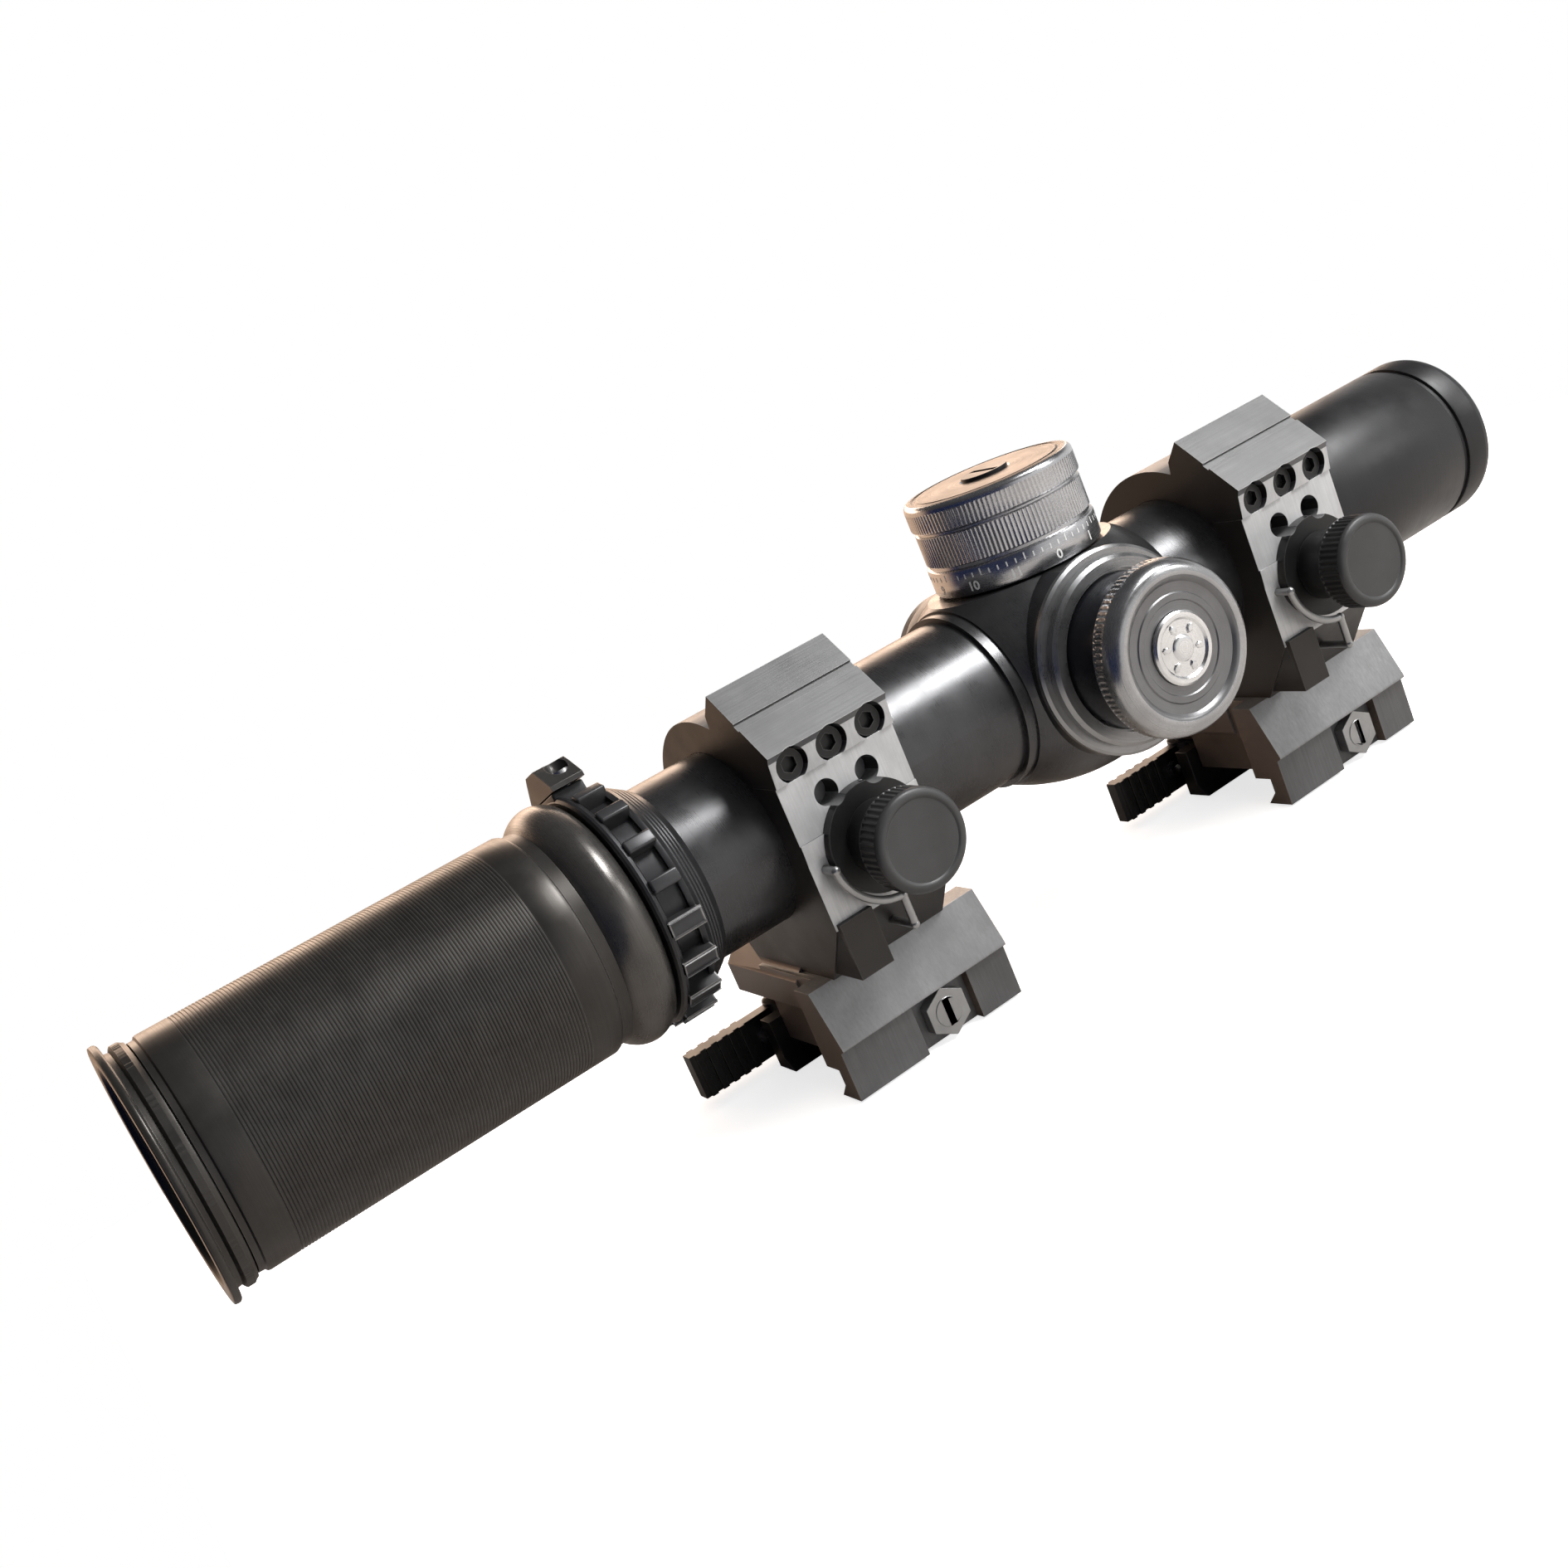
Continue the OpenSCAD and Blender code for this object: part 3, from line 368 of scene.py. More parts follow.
def placed(name, mesh, body, material, replaced=(), smooth=SMOOTH_TURNED):
    """Turns a mesh in metres into a piece that rides on a body."""
    mesh.materials.clear()
    mesh.materials.append(MATERIALS[material])
    for polygon in mesh.polygons:
        polygon.use_smooth = True
    mesh.set_sharp_from_angle(angle=smooth)
    piece = bpy.data.objects.new(name, mesh)
    bpy.context.scene.collection.objects.link(piece)
    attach(piece, body)
    if replaced:
        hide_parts(*replaced)
    return piece


def from_bmesh(name, bm):
    """A clean mesh: no doubled points, no empty faces, and all faces turned outwards."""
    bmesh.ops.remove_doubles(bm, verts=bm.verts, dist=1e-7)
    bmesh.ops.dissolve_degenerate(bm, edges=bm.edges, dist=1e-8)
    bmesh.ops.recalc_face_normals(bm, faces=bm.faces)
    mesh = bpy.data.meshes.new(name)
    bm.to_mesh(mesh)
    bm.free()
    return mesh


def spin(bm, loop, centre, axis, sign, segments, flutes):
    """Adds a solid turned from a closed loop of (radius, along) points.
    flutes are (from, to, count, depth, power, least_radius) stretches, whose radius ripples
    round the axis wherever it is over least_radius."""
    a = AXES[axis]
    u, v = [i for i in range(3) if i != a]
    rings = []
    for radius, along in loop:
        ripples = [f for f in flutes if f[0] - 1e-6 <= along <= f[1] + 1e-6 and radius > f[5]]
        ring = []
        for k in range(segments):
            turn = 2 * math.pi * k / segments
            r = radius
            for _, _, count, depth, power, _ in ripples:
                wave = 0.5 - 0.5 * math.cos(turn * count)
                r -= depth * wave**power
            point = [0.0, 0.0, 0.0]
            point[a] = sign * along
            point[u] = centre[u] + r * math.cos(turn)
            point[v] = centre[v] + r * math.sin(turn)
            ring.append(bm.verts.new([c * MM for c in point]))
        rings.append(ring)
    for i, ring in enumerate(rings):
        after = rings[(i + 1) % len(rings)]
        for k in range(segments):
            n = (k + 1) % segments
            bm.faces.new((ring[k], ring[n], after[n], after[k]))


def turned(name, loop, axis, body, material, node, segments, sign=1, flutes=(), centre=None):
    """A turned piece that stands for a CAD node; centre is the turrets' unless it is given."""
    bm = bmesh.new()
    spin(bm, loop, centre or (0.0, TURRET_Y, AXIS_Z), axis, sign, segments, flutes)
    return placed(name, from_bmesh(name, bm), body, material, (node,))


def between(a, b, c, d, t):
    """The Catmull-Rom value at t of the way from b to c."""
    square = (2 * a - 5 * b + 4 * c - d) * t * t
    cube = (3 * b - a - 3 * c + d) * t**3
    return 0.5 * (2 * b + (c - a) * t + square + cube)


def curve(points, steps):
    """A smooth line through (radius, along) points."""
    out = []
    for i in range(len(points) - 1):
        before = points[max(i - 1, 0)]
        after = points[min(i + 2, len(points) - 1)]
        for step in range(steps):
            four = zip(before, points[i], points[i + 1], after)
            out.append(tuple(between(*values, step / steps) for values in four))
    out.append(points[-1])
    return out


def ribs(radius, start, end, pitch, depth):
    """Fine ribs round a turned face, from start to end."""
    count = int(round(abs(end - start) / pitch))
    step = (end - start) / count
    out = []
    for i in range(count):
        y = start + i * step
        out += [(radius, y + 0.12 * step), (radius, y + 0.5 * step), (radius - depth, y + 0.66 * step),
                (radius - depth, y + 0.9 * step)]
    return out


def broken_edges(node, material, width):
    """A copy of a CAD node with its sharp outside edges broken by a small round."""
    source = frame["nodes"][node]
    bm = bmesh.new()
    bm.from_mesh(source.data)
    bmesh.ops.remove_doubles(bm, verts=bm.verts, dist=2e-6)
    bmesh.ops.dissolve_limit(bm, angle_limit=math.radians(0.6), verts=bm.verts, edges=bm.edges)
    sharp = [e for e in bm.edges
             if len(e.link_faces) == 2 and e.is_convex and e.calc_face_angle(0.0) > SHARP_ANGLE]
    bmesh.ops.bevel(bm, geom=sharp, offset=width * MM, offset_type="OFFSET", segments=2,
                    profile=0.6, affect="EDGES", clamp_overlap=True)
    mesh = from_bmesh(node + "_finished", bm)
    piece = placed(node + "_finished", mesh, source["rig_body"], material, (node,), SMOOTH_MILLED)
    even = piece.modifiers.new("even_shading", "WEIGHTED_NORMAL")
    even.keep_sharp = True
    return piece


# ---------- eyepiece ----------


def make_eyepiece():
    """The ribbed barrel, its rounded collar and the dioptre ring's rim."""
    y0, y1, r = BARREL_Y0, BARREL_Y1, BARREL_R
    outer = [(r - 0.9, y0), (r - 0.5, y0 + 0.1), (r - 0.45, y0 + 1.0), (r - 0.1, y0 + 1.25)]
    outer += [(r, y0 + 1.6), (r, y0 + 5.6)]
    outer += ribs(r, y0 + 5.8, y1 - 7.2, 0.52, 0.13)
    outer += [(r, y1 - 7.0), (r, y1 - 2.6), (r - 0.15, y1 - 2.2), (r - 0.6, y1 - 1.9), (r - 0.65, y1)]
    inner = [(TUBE_FIT_R, y1), (TUBE_FIT_R, TUBE_END_Y), (EYE_BORE_R, TUBE_END_Y - 2.4),
             (EYE_BORE_R, EYE_Y + 3), (EYE_BORE_R + 1.2, EYE_Y + 3), (EYE_BORE_R + 1.2, y0)]
    turned("eyepiece_barrel", outer + inner, "y", "root", "eyepiece_black",
           "eyepiece_housing", 256)

    c0 = low("eyepiece_collar").y
    face = curve([(BARREL_R - 0.7, c0), (BARREL_R + 0.35, c0 + 0.9), (COLLAR_R - 0.35, c0 + 2.3),
                  (COLLAR_R, c0 + 4.0), (COLLAR_R - 0.3, c0 + 5.5), (COLLAR_R - 1.0, c0 + 6.7),
                  (COLLAR_R - 1.9, COLLAR_Y1)], 5)
    turned("eyepiece_collar_round", face + [(TUBE_FIT_R, COLLAR_Y1), (TUBE_FIT_R, c0)], "y", "root",
           "collar_black", "eyepiece_collar", 256)

    e = EYE_Y
    rim = curve([(16.7, e + 0.75), (17.0, e + 0.3), (17.5, e), (RIM_R - 0.35, e), (RIM_R, e + 0.35),
                 (RIM_R, e + 0.9), (RIM_R - 0.3, e + 1.2)], 4)
    rim += [(18.25, e + 1.35), (18.15, e + 2.1), (18.6, e + 2.35), (18.9, e + 2.6), (18.9, e + 3.7),
            (18.55, e + 4.1), (18.4, e + 4.4), (17.25, e + 4.4), (17.25, e + 2.6), (16.6, e + 2.6)]
    turned("diopter_rim", rim, "y", "diopter", "eyepiece_black", "diopter_ring", 256,
           flutes=((e + 2.5, e + 3.8, 120, 0.14, 1.0, 18.8),))


# ---------- magnification ring ----------


RIB_Y0 = -34.6
RIB_Y1 = -30.2
RIB_COUNT = 18


def make_zoom():
    """The magnification ring: a grooved cone, grip ribs, and a wide block under the lever."""
    y0, y1 = low("magnification_ring").y, high("magnification_ring").y
    loop = [(15.05, y0), (18.9, y0), (19.35, y0 + 0.3), (19.5, y0 + 0.7), (19.35, y0 + 1.2),
            (19.0, y0 + 1.5), (17.4, y0 + 1.7), (17.4, RIB_Y1), (18.3, RIB_Y1), (18.4, RIB_Y1 + 0.2),
            (18.4, RIB_Y1 + 0.9), (18.2, RIB_Y1 + 1.2)]
    y, r = RIB_Y1 + 1.4, 18.0
    while y < y1 - 1.2:
        loop += [(r, y), (r - 0.16, y + 0.34), (r - 0.36, y + 0.4), (r - 0.36, y + 0.62)]
        y += 0.68
        r -= 0.44
    loop += [(15.9, y1 - 0.5), (15.5, y1), (15.05, y1)]
    turned("magnification_ring_body", loop, "y", "zoom", "zoom_black",
           "magnification_ring", 256)
    points = [Vector(v.co) for v in frame["nodes"]["zoom_lever"].data.vertices]
    mid_x = sum(v.x for v in points) / len(points)
    mid_z = sum(v.z for v in points) / len(points) - AXIS_Z * MM
    start = math.atan2(mid_x, mid_z)
    bm = bmesh.new()
    for i in range(1, RIB_COUNT - 1):
        angle = start + (i + 0.5) * 2 * math.pi / RIB_COUNT
        rib_block(bm, angle, 1.1, RIB_Y0, RIB_Y1 + 0.5, 17.0, 20.0)
    rib_block(bm, start, 5.0, y0 + 0.1, RIB_Y1, 17.0, 19.75)
    placed("magnification_ring_ribs", from_bmesh("magnification_ring_ribs", bm), "zoom",
           "zoom_rib")


def rib_block(bm, angle, half, y0, y1, r0, r1):
    """One rounded grip rib, lying along Y at an angle round the optical axis; half is half its width."""
    turn = Matrix.Rotation(angle, 4, "Y")
    made = bmesh.ops.create_cube(bm, size=1.0)["verts"]
    for v in made:
        local = Vector((v.co.x * 2 * half, 0.0, r0 if v.co.z < 0 else r1))
        local.y = y0 if v.co.y < 0 else y1
        v.co = (turn @ local + Vector((0, 0, AXIS_Z))) * MM
    edges = list({e for v in made for e in v.link_edges})
    bmesh.ops.bevel(bm, geom=edges, offset=0.38 * MM, offset_type="OFFSET", segments=4, profile=0.5,
                    affect="EDGES", clamp_overlap=True)


# ---------- turrets ----------


MARK_COUNT = 60
MARK_WIDTH = 0.22
MARK_HEIGHT = 0.8
TALL_MARK_EVERY = 5
TALL_MARK_HEIGHT = 1.2
NUMBER_COUNT = 12
NUMBER_SIZE = 2.2
NUMBER_START = math.radians(-8.0)


def dial_marks(name, radius, z0):
    """Painted lines round the elevation dial, every fifth of them taller."""
    bm = bmesh.new()
    for i in range(MARK_COUNT):
        top = z0 + (TALL_MARK_HEIGHT if i % TALL_MARK_EVERY == 0 else MARK_HEIGHT)
        turn = Matrix.Rotation(2 * math.pi * i / MARK_COUNT, 4, "Z")
        for v in bmesh.ops.create_cube(bm, size=1.0)["verts"]:
            local = Vector((radius + (0.035 if v.co.x > 0 else -0.1), v.co.y * MARK_WIDTH,
                            z0 if v.co.z < 0 else top))
            v.co = (turn @ local + Vector((0, TURRET_Y, 0))) * MM
    placed(name, from_bmesh(name, bm), "elevation", "dial_paint")


def dial_numbers(name, radius, z0):
    """Numbers bent round the elevation dial."""
    bm = bmesh.new()
    for i in range(NUMBER_COUNT):
        text = bpy.data.curves.new("dial_text", "FONT")
        text.body = str(i)
        text.size = NUMBER_SIZE
        text.align_x = "CENTER"
        text.extrude = 0.05
        text.offset = 0.02 * NUMBER_SIZE
        holder = bpy.data.objects.new("dial_text", text)
        bpy.context.scene.collection.objects.link(holder)
        bpy.context.view_layer.update()
        flat = holder.evaluated_get(bpy.context.evaluated_depsgraph_get()).to_mesh()
        angle = NUMBER_START + 2 * math.pi * i / NUMBER_COUNT
        verts = []
        for v in flat.vertices:
            a = angle + v.co.x / radius
            r = radius + v.co.z - 0.015
            bent = Vector((r * math.cos(a), TURRET_Y + r * math.sin(a), z0 + v.co.y))
            verts.append(bm.verts.new(bent * MM))
        for p in flat.polygons:
            bm.faces.new([verts[k] for k in p.vertices])
        bpy.data.objects.remove(holder)
        bpy.data.curves.remove(text)
    placed(name, from_bmesh(name, bm), "elevation", "dial_paint")


def make_elevation():
    """The top knob: a knurled cap, a knurled body and a plain band with the dial."""
    z0, z1, r = ELEVATION_Z0, ELEVATION_Z1, ELEVATION_R
    side = r - 0.35
    band = side + 0.2
    top = z1 - 0.3
    loop = [(0.0, top - 1.5), (4.2, top - 1.5), (4.2, top - 0.3), (4.5, top), (12.6, top),
            (12.9, top - 0.2), (13.2, top - 0.2), (13.5, top)]
    loop += curve([(r - 1.5, top), (r - 0.6, top - 0.2), (r - 0.12, top - 0.7), (r, top - 1.4)], 4)
    loop += [(r, top - 1.6), (r, top - 4.4), (r - 0.1, top - 4.7), (r - 0.75, top - 5.1),
             (r - 0.75, top - 5.4), (side - 0.05, top - 5.6), (side, top - 5.8), (side, z0 + 5.6),
             (side - 0.3, z0 + 5.4), (side - 0.3, z0 + 4.9), (side + 0.1, z0 + 4.7), (band, z0 + 4.5),
             (band, z0 + 0.5), (side, z0 + 0.15), (side - 0.5, z0), (10.5, z0), (10.5, z1 - 4.0),
             (0.0, z1 - 4.0)]
    piece = turned("elevation_turret", loop, "z", "elevation", "knob_grey",
                   "elevation_knob", 960, flutes=((top - 4.45, top - 1.55, 120, 0.12, 0.8, side - 2),
                                                  (z0 + 5.55, top - 5.75, 120, 0.16, 0.8, side - 2)))
    paint_by(piece, {"knob_top": lambda c, n: c.z > top - 1.6 and n.z > 0.8 and radius_z(c) < r - 0.8})
    dial_marks("elevation_marks", band, z0 + 3.1)
    dial_numbers("elevation_numbers", band, z0 + 0.9)


def make_windage():
    """The right-hand knob: a dark neck, a knurled rim with a rounded crown, and a badge."""
    x0, x1, r = WINDAGE_X0, WINDAGE_X1, WINDAGE_R
    rim = x1 - 5.6
    neck = [(13.0, x0 + 0.02), (13.0, rim - 1.2), (12.8, rim - 1.0), (12.8, rim - 0.5)]
    side = curve([(13.2, rim - 0.35), (r - 0.35, rim + 0.15), (r, rim + 0.9), (r, rim + 2.2)], 4)
    crown = curve([(r, x1 - 3.0), (r - 0.35, x1 - 1.6), (r - 1.1, x1 - 0.5), (r - 2.2, x1 - 0.05),
                   (r - 3.2, x1 - 0.2), (r - 3.9, x1 - 0.75)], 6)
    face = [(r - 4.4, x1 - 0.8), (8.9, x1 - 0.9), (8.7, x1 - 0.7), (7.7, x1 - 0.7), (7.5, x1 - 0.9),
            (6.06, x1 - 0.9), (6.06, x1 - 1.6), (0.0, x1 - 1.6)]
    inner = [(0.0, x1 - 4.4), (9.4, x1 - 4.4), (9.4, x0 + 0.02)]
    loop = neck + side + crown + face + inner
    piece = turned("windage_turret", loop, "x", "windage", "windage_silver",
                   "windage_knob", 720, flutes=((rim + 0.85, x1 - 2.9, 90, 0.2, 0.8, r - 0.5),))
    paint_by(piece, {"windage_neck": lambda c, n: c.x < rim,
                     "windage_face": lambda c, n: c.x > x1 - 1.3 and radius_x(c) < r - 2.9})
    m0 = low("windage_medallion").x
    top = high("windage_medallion").x
    loop = [(0.0, m0), (5.98, m0), (5.98, top - 0.3), (5.6, top), (4.9, top), (4.5, top - 0.35),
            (2.2, top - 0.35), (1.9, top - 0.1), (1.4, top), (0.0, top)]
    turned("windage_badge", loop, "x", "windage", "badge", "windage_medallion", 180)
    bm = bmesh.new()
    for i in range(6):
        petal(bm, math.radians(60 * i + 14), top - 0.37)
    placed("windage_badge_pattern", from_bmesh("windage_badge_pattern", bm), "windage",
           "badge")


def radius_z(c):
    """Distance from the elevation knob's axis."""
    return math.hypot(c.x, c.y - TURRET_Y)


def radius_x(c):
    """Distance from the windage knob's axis."""
    return math.hypot(c.y - TURRET_Y, c.z - AXIS_Z)


def petal(bm, angle, x):
    """One raised lozenge of the plain six-part pattern on the windage knob's badge."""
    outline = [(2.5, 0.0), (3.1, 0.55), (3.9, 0.5), (4.3, 0.0), (3.9, -0.5), (3.1, -0.55)]
    middle_r = 3.4
    turn = Matrix.Rotation(angle, 4, "X")
    rings = []
    for height, shrink in ((-0.05, 1.0), (0.18, 1.0), (0.3, 0.7)):
        ring = []
        for r, t in outline:
            r = middle_r + (r - middle_r) * shrink
            local = turn @ Vector((x + height, t * shrink, r))
            ring.append(bm.verts.new((local + Vector((0, TURRET_Y, AXIS_Z))) * MM))
        rings.append(ring)
    n = len(outline)
    for lower, upper in zip(rings, rings[1:]):
        for k in range(n):
            bm.faces.new((lower[k], lower[(k + 1) % n], upper[(k + 1) % n], upper[k]))
    bm.faces.new(rings[-1])
    bm.faces.new(rings[0])


def paint_by(piece, rules):
    """Gives each face the last material whose rule(centre in mm, normal) it meets."""
    mesh = piece.data
    for name in rules:
        mesh.materials.append(MATERIALS[name])
    for polygon in mesh.polygons:
        c = polygon.center / MM
        for index, rule in enumerate(rules.values(), start=1):
            if rule(c, polygon.normal):
                polygon.material_index = index


def make_illumination():
    """The left-hand knob, knurled round its side."""
    x0, x1 = -high("illumination_knob").x, -low("illumination_knob").x
    r = high("illumination_knob").z - AXIS_Z
    loop = [(3.5, x0), (r - 0.5, x0), (r - 0.1, x0 + 0.2), (r, x0 + 0.6), (r, x1 - 0.6),
            (r - 0.1, x1 - 0.2), (r - 0.5, x1), (10.6, x1), (10.6, x0 + 2.2), (3.5, x0 + 2.2)]
    turned("illumination_grip", loop, "x", "illumination", "side_black",
           "illumination_knob", 720, sign=-1, flutes=((x0 + 0.9, x1 - 0.9, 60, 0.3, 0.7, r - 1),))


# ---------- objective ----------


def make_objective():
    """The front bell, and the rim ahead of it with a filter thread inside."""
    y0, f, r, bore = BELL_Y0, FRONT_Y, BELL_R, BELL_BORE_R
    loop = [(bore, y0), (r - 0.6, y0), (r - 0.15, y0 + 0.25), (r, y0 + 0.7), (r, f - 8.2),
            (r - 0.12, f - 7.95), (r - 0.6, f - 7.5), (r - 0.6, f - 6.62), (13.9, f - 6.62),
            (13.9, f - 12.0), (13.3, f - 12.0), (13.3, BELL_STEP_Y), (bore, BELL_STEP_Y)]
    turned("objective_bell_turned", loop, "y", "root", "bell_black", "objective_bell", 256)
    thread = []
    y = f - 0.9
    while y > f - 6.0:
        thread += [(bore, y), (bore + 0.2, y - 0.2), (bore, y - 0.4)]
        y -= 0.5
    loop = [(bore, f - 6.55), (r - 0.55, f - 6.55), (r - 0.1, f - 6.4), (r, f - 6.1), (r, f - 1.9)]
    loop += curve([(r, f - 1.8), (r - 0.2, f - 0.9), (r - 0.55, f - 0.3), (r - 1.05, f)], 4)
    loop += [(14.7, f), (14.4, f - 0.3)] + thread
    turned("objective_rim", loop, "y", "root", "bell_black", "front_bezel", 256)


# ---------- ring mounts ----------


FOOT_Z = 14.5
CLAW_Z = 4.2
WALL_Z = 24.0
WALL_X = (18.5, 20.3)
BOSS_X = (20.3, 22.5)
KNOB_NECK_R = 5.9
KNOB_SEAT_X = 22.2


def ring_web_face(c, n):
    """Faces painted near-black as shade: the ring's end faces, the slope under the wall, and the recess
    between wall and foot.
    """
    above_foot = c.z > FOOT_Z
    recess = c.x > 11.9 and 14.2 < c.z < 24.6 and n.z < 0.5
    return above_foot and (abs(n.y) > 0.9 or n.x > 0.3 and n.z < -0.3) or recess


def foot_side_face(c, n):
    """The foot's claw and end faces, which are painted darker as shade."""
    return n.x > 0.8 and c.z < CLAW_Z or abs(n.y) > 0.9 and c.x > 6 and c.z < FOOT_Z


def make_mounts():
    """Ring bases, caps, jaws, levers and bolts with broken edges, and the turned lock knobs. The bases and
    caps get painted shade and a painted highlight on faces chosen by position and normal.
    """
    for name in RING_NAMES:
        base = broken_edges(name + "_ring_base", "base_grey", 0.3)
        paint_by(base, {
            "black_metal": lambda c, n: BOSS_X[0] < c.x < BOSS_X[1] and c.z > WALL_Z,
            # painted highlight on the side wall's outward faces
            "wall_painted_highlight": lambda c, n: n.x > 0.95 and WALL_X[0] < c.x < WALL_X[1] and c.z > WALL_Z,
            # painted shade on the end faces, the slope under the wall and the recess
            "ring_painted_shade": ring_web_face,
            # painted shade on the claw's recessed face
            "inner_black": lambda c, n: n.x > 0.9 and 11.5 < c.x < 13.5 and c.z < CLAW_Z,
            # painted shade on the foot's claw and end faces
            "foot_painted_shade": foot_side_face,
            # painted shade and a painted warm reflection on the foot's rear and far-side faces
            "painted_warm_shade": lambda c, n: c.z < 16.5 and (n.y < -0.3 or c.x < -10),
        })
        cap = broken_edges(name + "_ring_cap", "ring_grey", 0.3)
        paint_by(cap, {
            "ring_pad": lambda c, n: n.x > 0.5 and n.z > 0.5 and c.z > 52,
            # painted shade on the cap's rear end faces
            "ring_painted_shade": lambda c, n: n.y < -0.9,
            # painted shade on the cap's recessed faces
            "inner_black": lambda c, n: n.x > 0.9 and c.x < 18.6 and 45 < c.z < 53,
            # painted highlight on the cap's outward side faces
            "wall_painted_highlight": lambda c, n: n.x > 0.9 and c.x > 19.5,
        })
        broken_edges(name + "_clamp_jaw", "black_metal", 0.25)
        broken_edges(name + "_throw_lever", "black_metal", 0.2)
        broken_edges(name + "_cross_bolt", "dark_steel", 0.15)
        lock_knob(name)


def lock_knob(name):
    """A knurled head on a plain neck."""
    node = name + "_lock_knob"
    c = middle(node)
    x0, x1 = low(node).x, high(node).x
    r = high(node).z - c.z
    head = x1 - 5.6
    loop = [(0.0, x0), (2.5, x0), (2.5, KNOB_SEAT_X), (KNOB_NECK_R, KNOB_SEAT_X),
            (KNOB_NECK_R, head - 0.7), (KNOB_NECK_R + 0.5, head - 0.3)]
    loop += curve([(r - 0.6, head - 0.05), (r - 0.15, head + 0.25), (r, head + 0.8)], 3)
    loop += [(r, x1 - 1.1)]
    loop += curve([(r, x1 - 1.0), (r - 0.2, x1 - 0.4), (r - 0.75, x1 - 0.05), (r - 1.3, x1),
                   (r - 1.7, x1 - 0.25)], 4)
    loop += [(0.0, x1 - 0.3)]
    piece = turned(name + "_lock_knob_turned", loop, "x", name + "_knob", "black_metal",
                   node, 480, flutes=((head + 0.75, x1 - 1.05, 48, 0.22, 0.8, r - 0.5),),
                   centre=(0.0, c.y, c.z))
    paint_by(piece, {"knob_face": lambda p, n: p.x > x1 - 0.9})


# ---------- carried-over CAD nodes ----------

PLAIN = {
    "main_tube": "tube_black", "objective_retainer": "inner_black", "ocular_cell": "inner_black",
    "field_retainer": "inner_black", "drive_screw": "steel", "gimbal_ring": "brass",
    "erector_tube": "inner_black", "cam_tube": "brass", "front_lens_cell": "inner_black",
    "rear_lens_cell": "inner_black", "erector_spring": "steel", "elevation_seat": "saddle_black",
    "elevation_seal": "seal", "elevation_screw": "brass", "windage_screw": "brass",
    "windage_seat": "windage_flange", "illumination_seat": "side_black", "battery": "steel",
    "battery_cap": "side_black", "objective_lens": "glass", "ocular_lens": "glass", "field_lens": "glass",
    "front_erector_lens": "glass", "rear_erector_lens": "glass", "reticle": "glass",
    "elevation_lock_screw": "black_metal", "zoom_lever_screw": "steel",
    "rear_cap_screws": "black_metal", "front_cap_screws": "black_metal",
    "rear_knob_clip": "dark_steel", "front_knob_clip": "dark_steel", "rear_lever_pin": "steel",
    "front_lever_pin": "steel", "rear_lever_screw": "steel", "front_lever_screw": "steel",
}


def finish_nodes():
    """Gives the CAD nodes that stay as they are their materials."""
    for node, material in PLAIN.items():
        mesh = frame["nodes"][node].data
        mesh.materials.clear()
        mesh.materials.append(MATERIALS[material])


# ---------- studio ----------

CAMERA_AT = (250.54, -118.09, 114.88)
CAMERA_BACK = (0.874752, -0.412114, 0.254895)
CAMERA_ROLL_DEG = 23.3008
CAMERA_LENS = 41.156
FLOOR_GAP = 0.0005
FLOOR_X = (-130.0, 420.0)
FLOOR_Y = (-125.0, 330.0)
STUDIO_CENTRE = (0.0, 30.0, 40.0)
WHITE = (1.0, 1.0, 1.0)


def make_camera():
    """The photograph's viewing angle: a place, a direction to look back from, and a roll."""
    data = bpy.data.cameras.new("camera")
    data.lens = CAMERA_LENS
    data.sensor_width = 36.0
    data.clip_start = 0.01
    data.clip_end = 50.0
    camera = bpy.data.objects.new("camera", data)
    bpy.context.scene.collection.objects.link(camera)
    back = Vector(CAMERA_BACK).normalized()
    right = Vector((0, 0, 1)).cross(back).normalized()
    up = back.cross(right)
    roll = math.radians(CAMERA_ROLL_DEG)
    up_rolled = up * math.cos(roll) + right * math.sin(roll)
    right_rolled = right * math.cos(roll) - up * math.sin(roll)
    turn = Matrix((right_rolled, up_rolled, back)).transposed().to_4x4()
    camera.matrix_world = Matrix.Translation(Vector(CAMERA_AT) * MM) @ turn
    bpy.context.scene.camera = camera


def area_light(name, way, reach, size, power, colour, glossy=True):
    """A softbox that faces the object from a direction, reach and size in metres, power in watts."""
    data = bpy.data.lights.new(name, "AREA")
    data.shape = "RECTANGLE"
    data.size, data.size_y = size
    data.energy = power
    data.color = colour
    light = bpy.data.objects.new(name, data)
    bpy.context.scene.collection.objects.link(light)
    aim = Vector(way).normalized()
    light.location = Vector(STUDIO_CENTRE) * MM + aim * reach
    light.rotation_euler = (-aim).to_track_quat("-Z", "Y").to_euler()
    light.visible_camera = False
    light.visible_glossy = glossy


def floor_paper():
    """Pale paper; the camera sees it brighter than the light it gives back to the object."""
    paper = Shader("floor_paper", 0.0)
    tone = paper.noise(paper.place, 3.0, 2.0)
    seen = paper.add("ShaderNodeLightPath").outputs["Is Camera Ray"]
    dull = paper.blend(paper.ramp(tone, 0.0, 1.0), (0.46, 0.435, 0.41, 1.0), (0.5, 0.475, 0.45, 1.0))
    paper.colour(paper.blend(seen, dull, (0.85, 0.85, 0.85, 1.0)))
    paper.roughness(paper.ramp(tone, 0.8, 0.9))
    paper.surface.inputs["Emission Color"].default_value = (1.0, 1.0, 1.0, 1.0)
    paper.feed(paper.surface.inputs["Emission Strength"], paper.maths("MULTIPLY", seen, 0.75))
    return paper.material


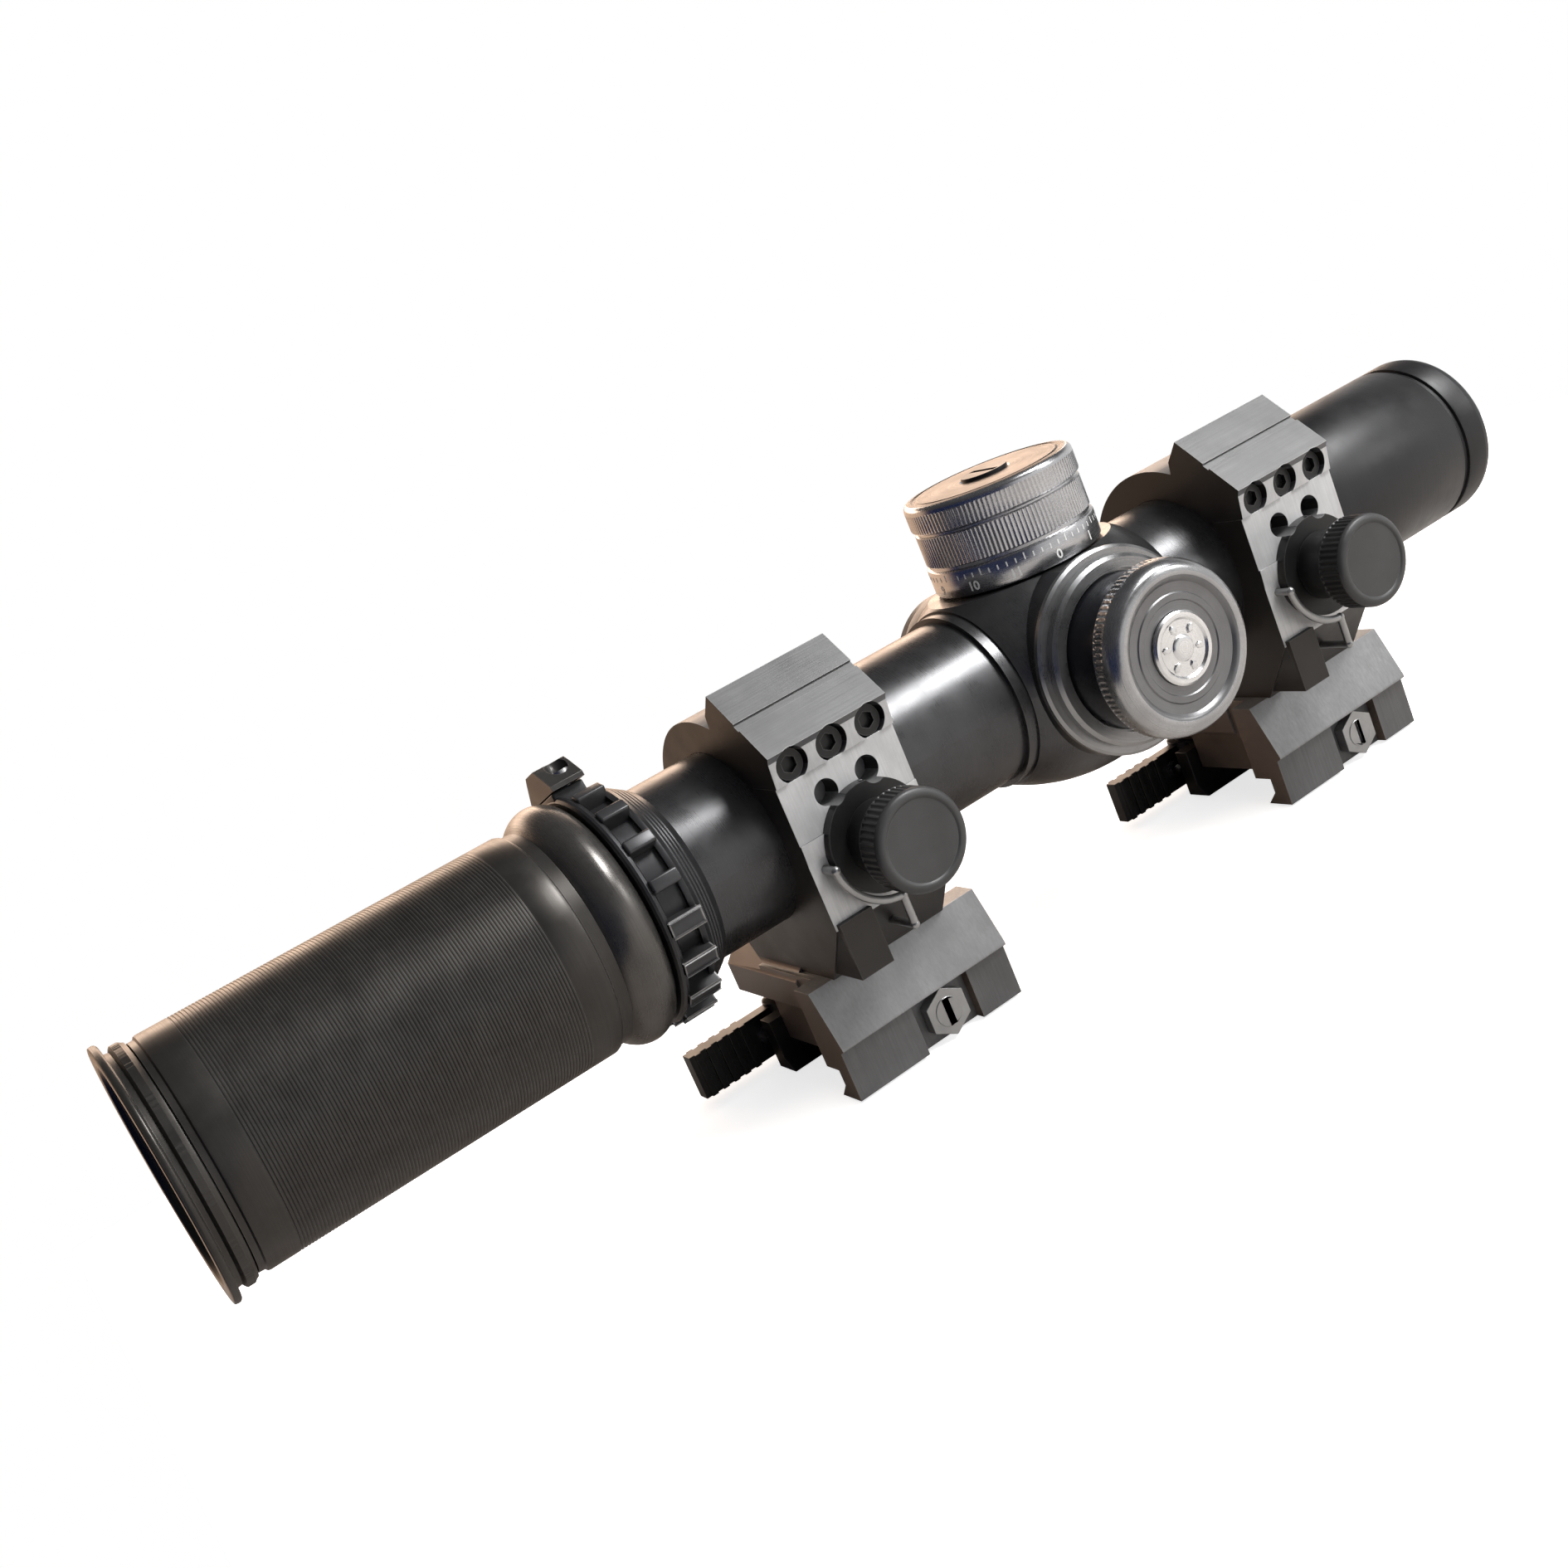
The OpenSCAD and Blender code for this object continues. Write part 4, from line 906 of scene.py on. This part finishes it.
def make_studio():
    """The floor, five softboxes and the room."""
    lowest = CAD_BOX[0].z - FLOOR_GAP
    bm = bmesh.new()
    x0, x1 = [x * MM for x in FLOOR_X]
    y0, y1 = [y * MM for y in FLOOR_Y]
    corners = ((x0, y0), (x1, y0), (x1, y1), (x0, y1))
    bm.faces.new([bm.verts.new((x, y, lowest)) for x, y in corners])
    mesh = bpy.data.meshes.new("floor")
    bm.to_mesh(mesh)
    bm.free()
    mesh.materials.append(floor_paper())
    floor = bpy.data.objects.new("floor", mesh)
    bpy.context.scene.collection.objects.link(floor)

    area_light("overhead_fill", (0.2, 0.3, 1.0), 1.2, (1.6, 1.2), 14.0, WHITE, glossy=False)
    area_light("key_strip", (0.42, 0.52, 0.74), 1.2, (0.42, 0.34), 16.0, WHITE)
    area_light("front_glow", (0.6, 0.72, 0.34), 1.2, (0.3, 0.3), 2.0, WHITE)
    area_light("right_fill", (0.95, 0.2, 0.1), 1.3, (1.0, 0.5), 4.0, WHITE, glossy=False)
    area_light("warm_back", (-0.9, 0.2, 0.32), 1.2, (1.6, 0.4), 10.0, (1.0, 0.74, 0.56))
    make_world()
    bpy.context.scene.view_settings.view_transform = "Standard"


def make_world():
    """White where the camera sees past the floor. Round the object, a pale room with a dark
    ceiling, a warm wall on the left and a dark blue one behind the eyepiece."""
    world = bpy.data.worlds.new("studio_room")
    bpy.context.scene.world = world
    world.use_nodes = True
    tree = world.node_tree
    tree.nodes.clear()

    def node(kind, **settings):
        made = tree.nodes.new(kind)
        for key, value in settings.items():
            setattr(made, key, value)
        return made

    way = node("ShaderNodeTexCoord").outputs["Generated"]
    split = node("ShaderNodeSeparateXYZ")
    tree.links.new(way, split.inputs[0])

    def step(output, start, end):
        """0 to 1 as a direction's X, Y or Z goes from start to end."""
        made = node("ShaderNodeMapRange", interpolation_type="SMOOTHSTEP")
        tree.links.new(split.outputs[output], made.inputs["Value"])
        made.inputs["From Min"].default_value = start
        made.inputs["From Max"].default_value = end
        return made.outputs["Result"]

    def over(factor, below, colour):
        """The colour laid over what is below, by factor."""
        made = node("ShaderNodeMix", data_type="RGBA")
        tree.links.new(factor, made.inputs["Factor"])
        if hasattr(below, "is_output"):
            tree.links.new(below, made.inputs[6])
        else:
            made.inputs[6].default_value = below
        made.inputs[7].default_value = colour
        return made.outputs[2]

    room = over(step("Y", 0.15, -0.4), (0.9, 0.9, 0.9, 1.0), (0.01, 0.022, 0.08, 1.0))
    room = over(step("X", -0.62, -0.86), room, (1.1, 0.75, 0.52, 1.0))
    room = over(step("Z", 0.12, 0.5), room, (0.05, 0.05, 0.055, 1.0))
    around = node("ShaderNodeBackground")
    tree.links.new(room, around.inputs["Color"])
    white = node("ShaderNodeBackground")
    white.inputs["Color"].default_value = (1.0, 1.0, 1.0, 1.0)
    mix = node("ShaderNodeMixShader")
    tree.links.new(node("ShaderNodeLightPath").outputs["Is Camera Ray"], mix.inputs[0])
    tree.links.new(around.outputs[0], mix.inputs[1])
    tree.links.new(white.outputs[0], mix.inputs[2])
    tree.links.new(mix.outputs[0], node("ShaderNodeOutputWorld").inputs["Surface"])


finish_nodes()
make_eyepiece()
make_zoom()
make_elevation()
make_windage()
make_illumination()
make_objective()
make_mounts()
broken_edges("zoom_lever", "lever_black", 0.3)
make_camera()
make_studio()
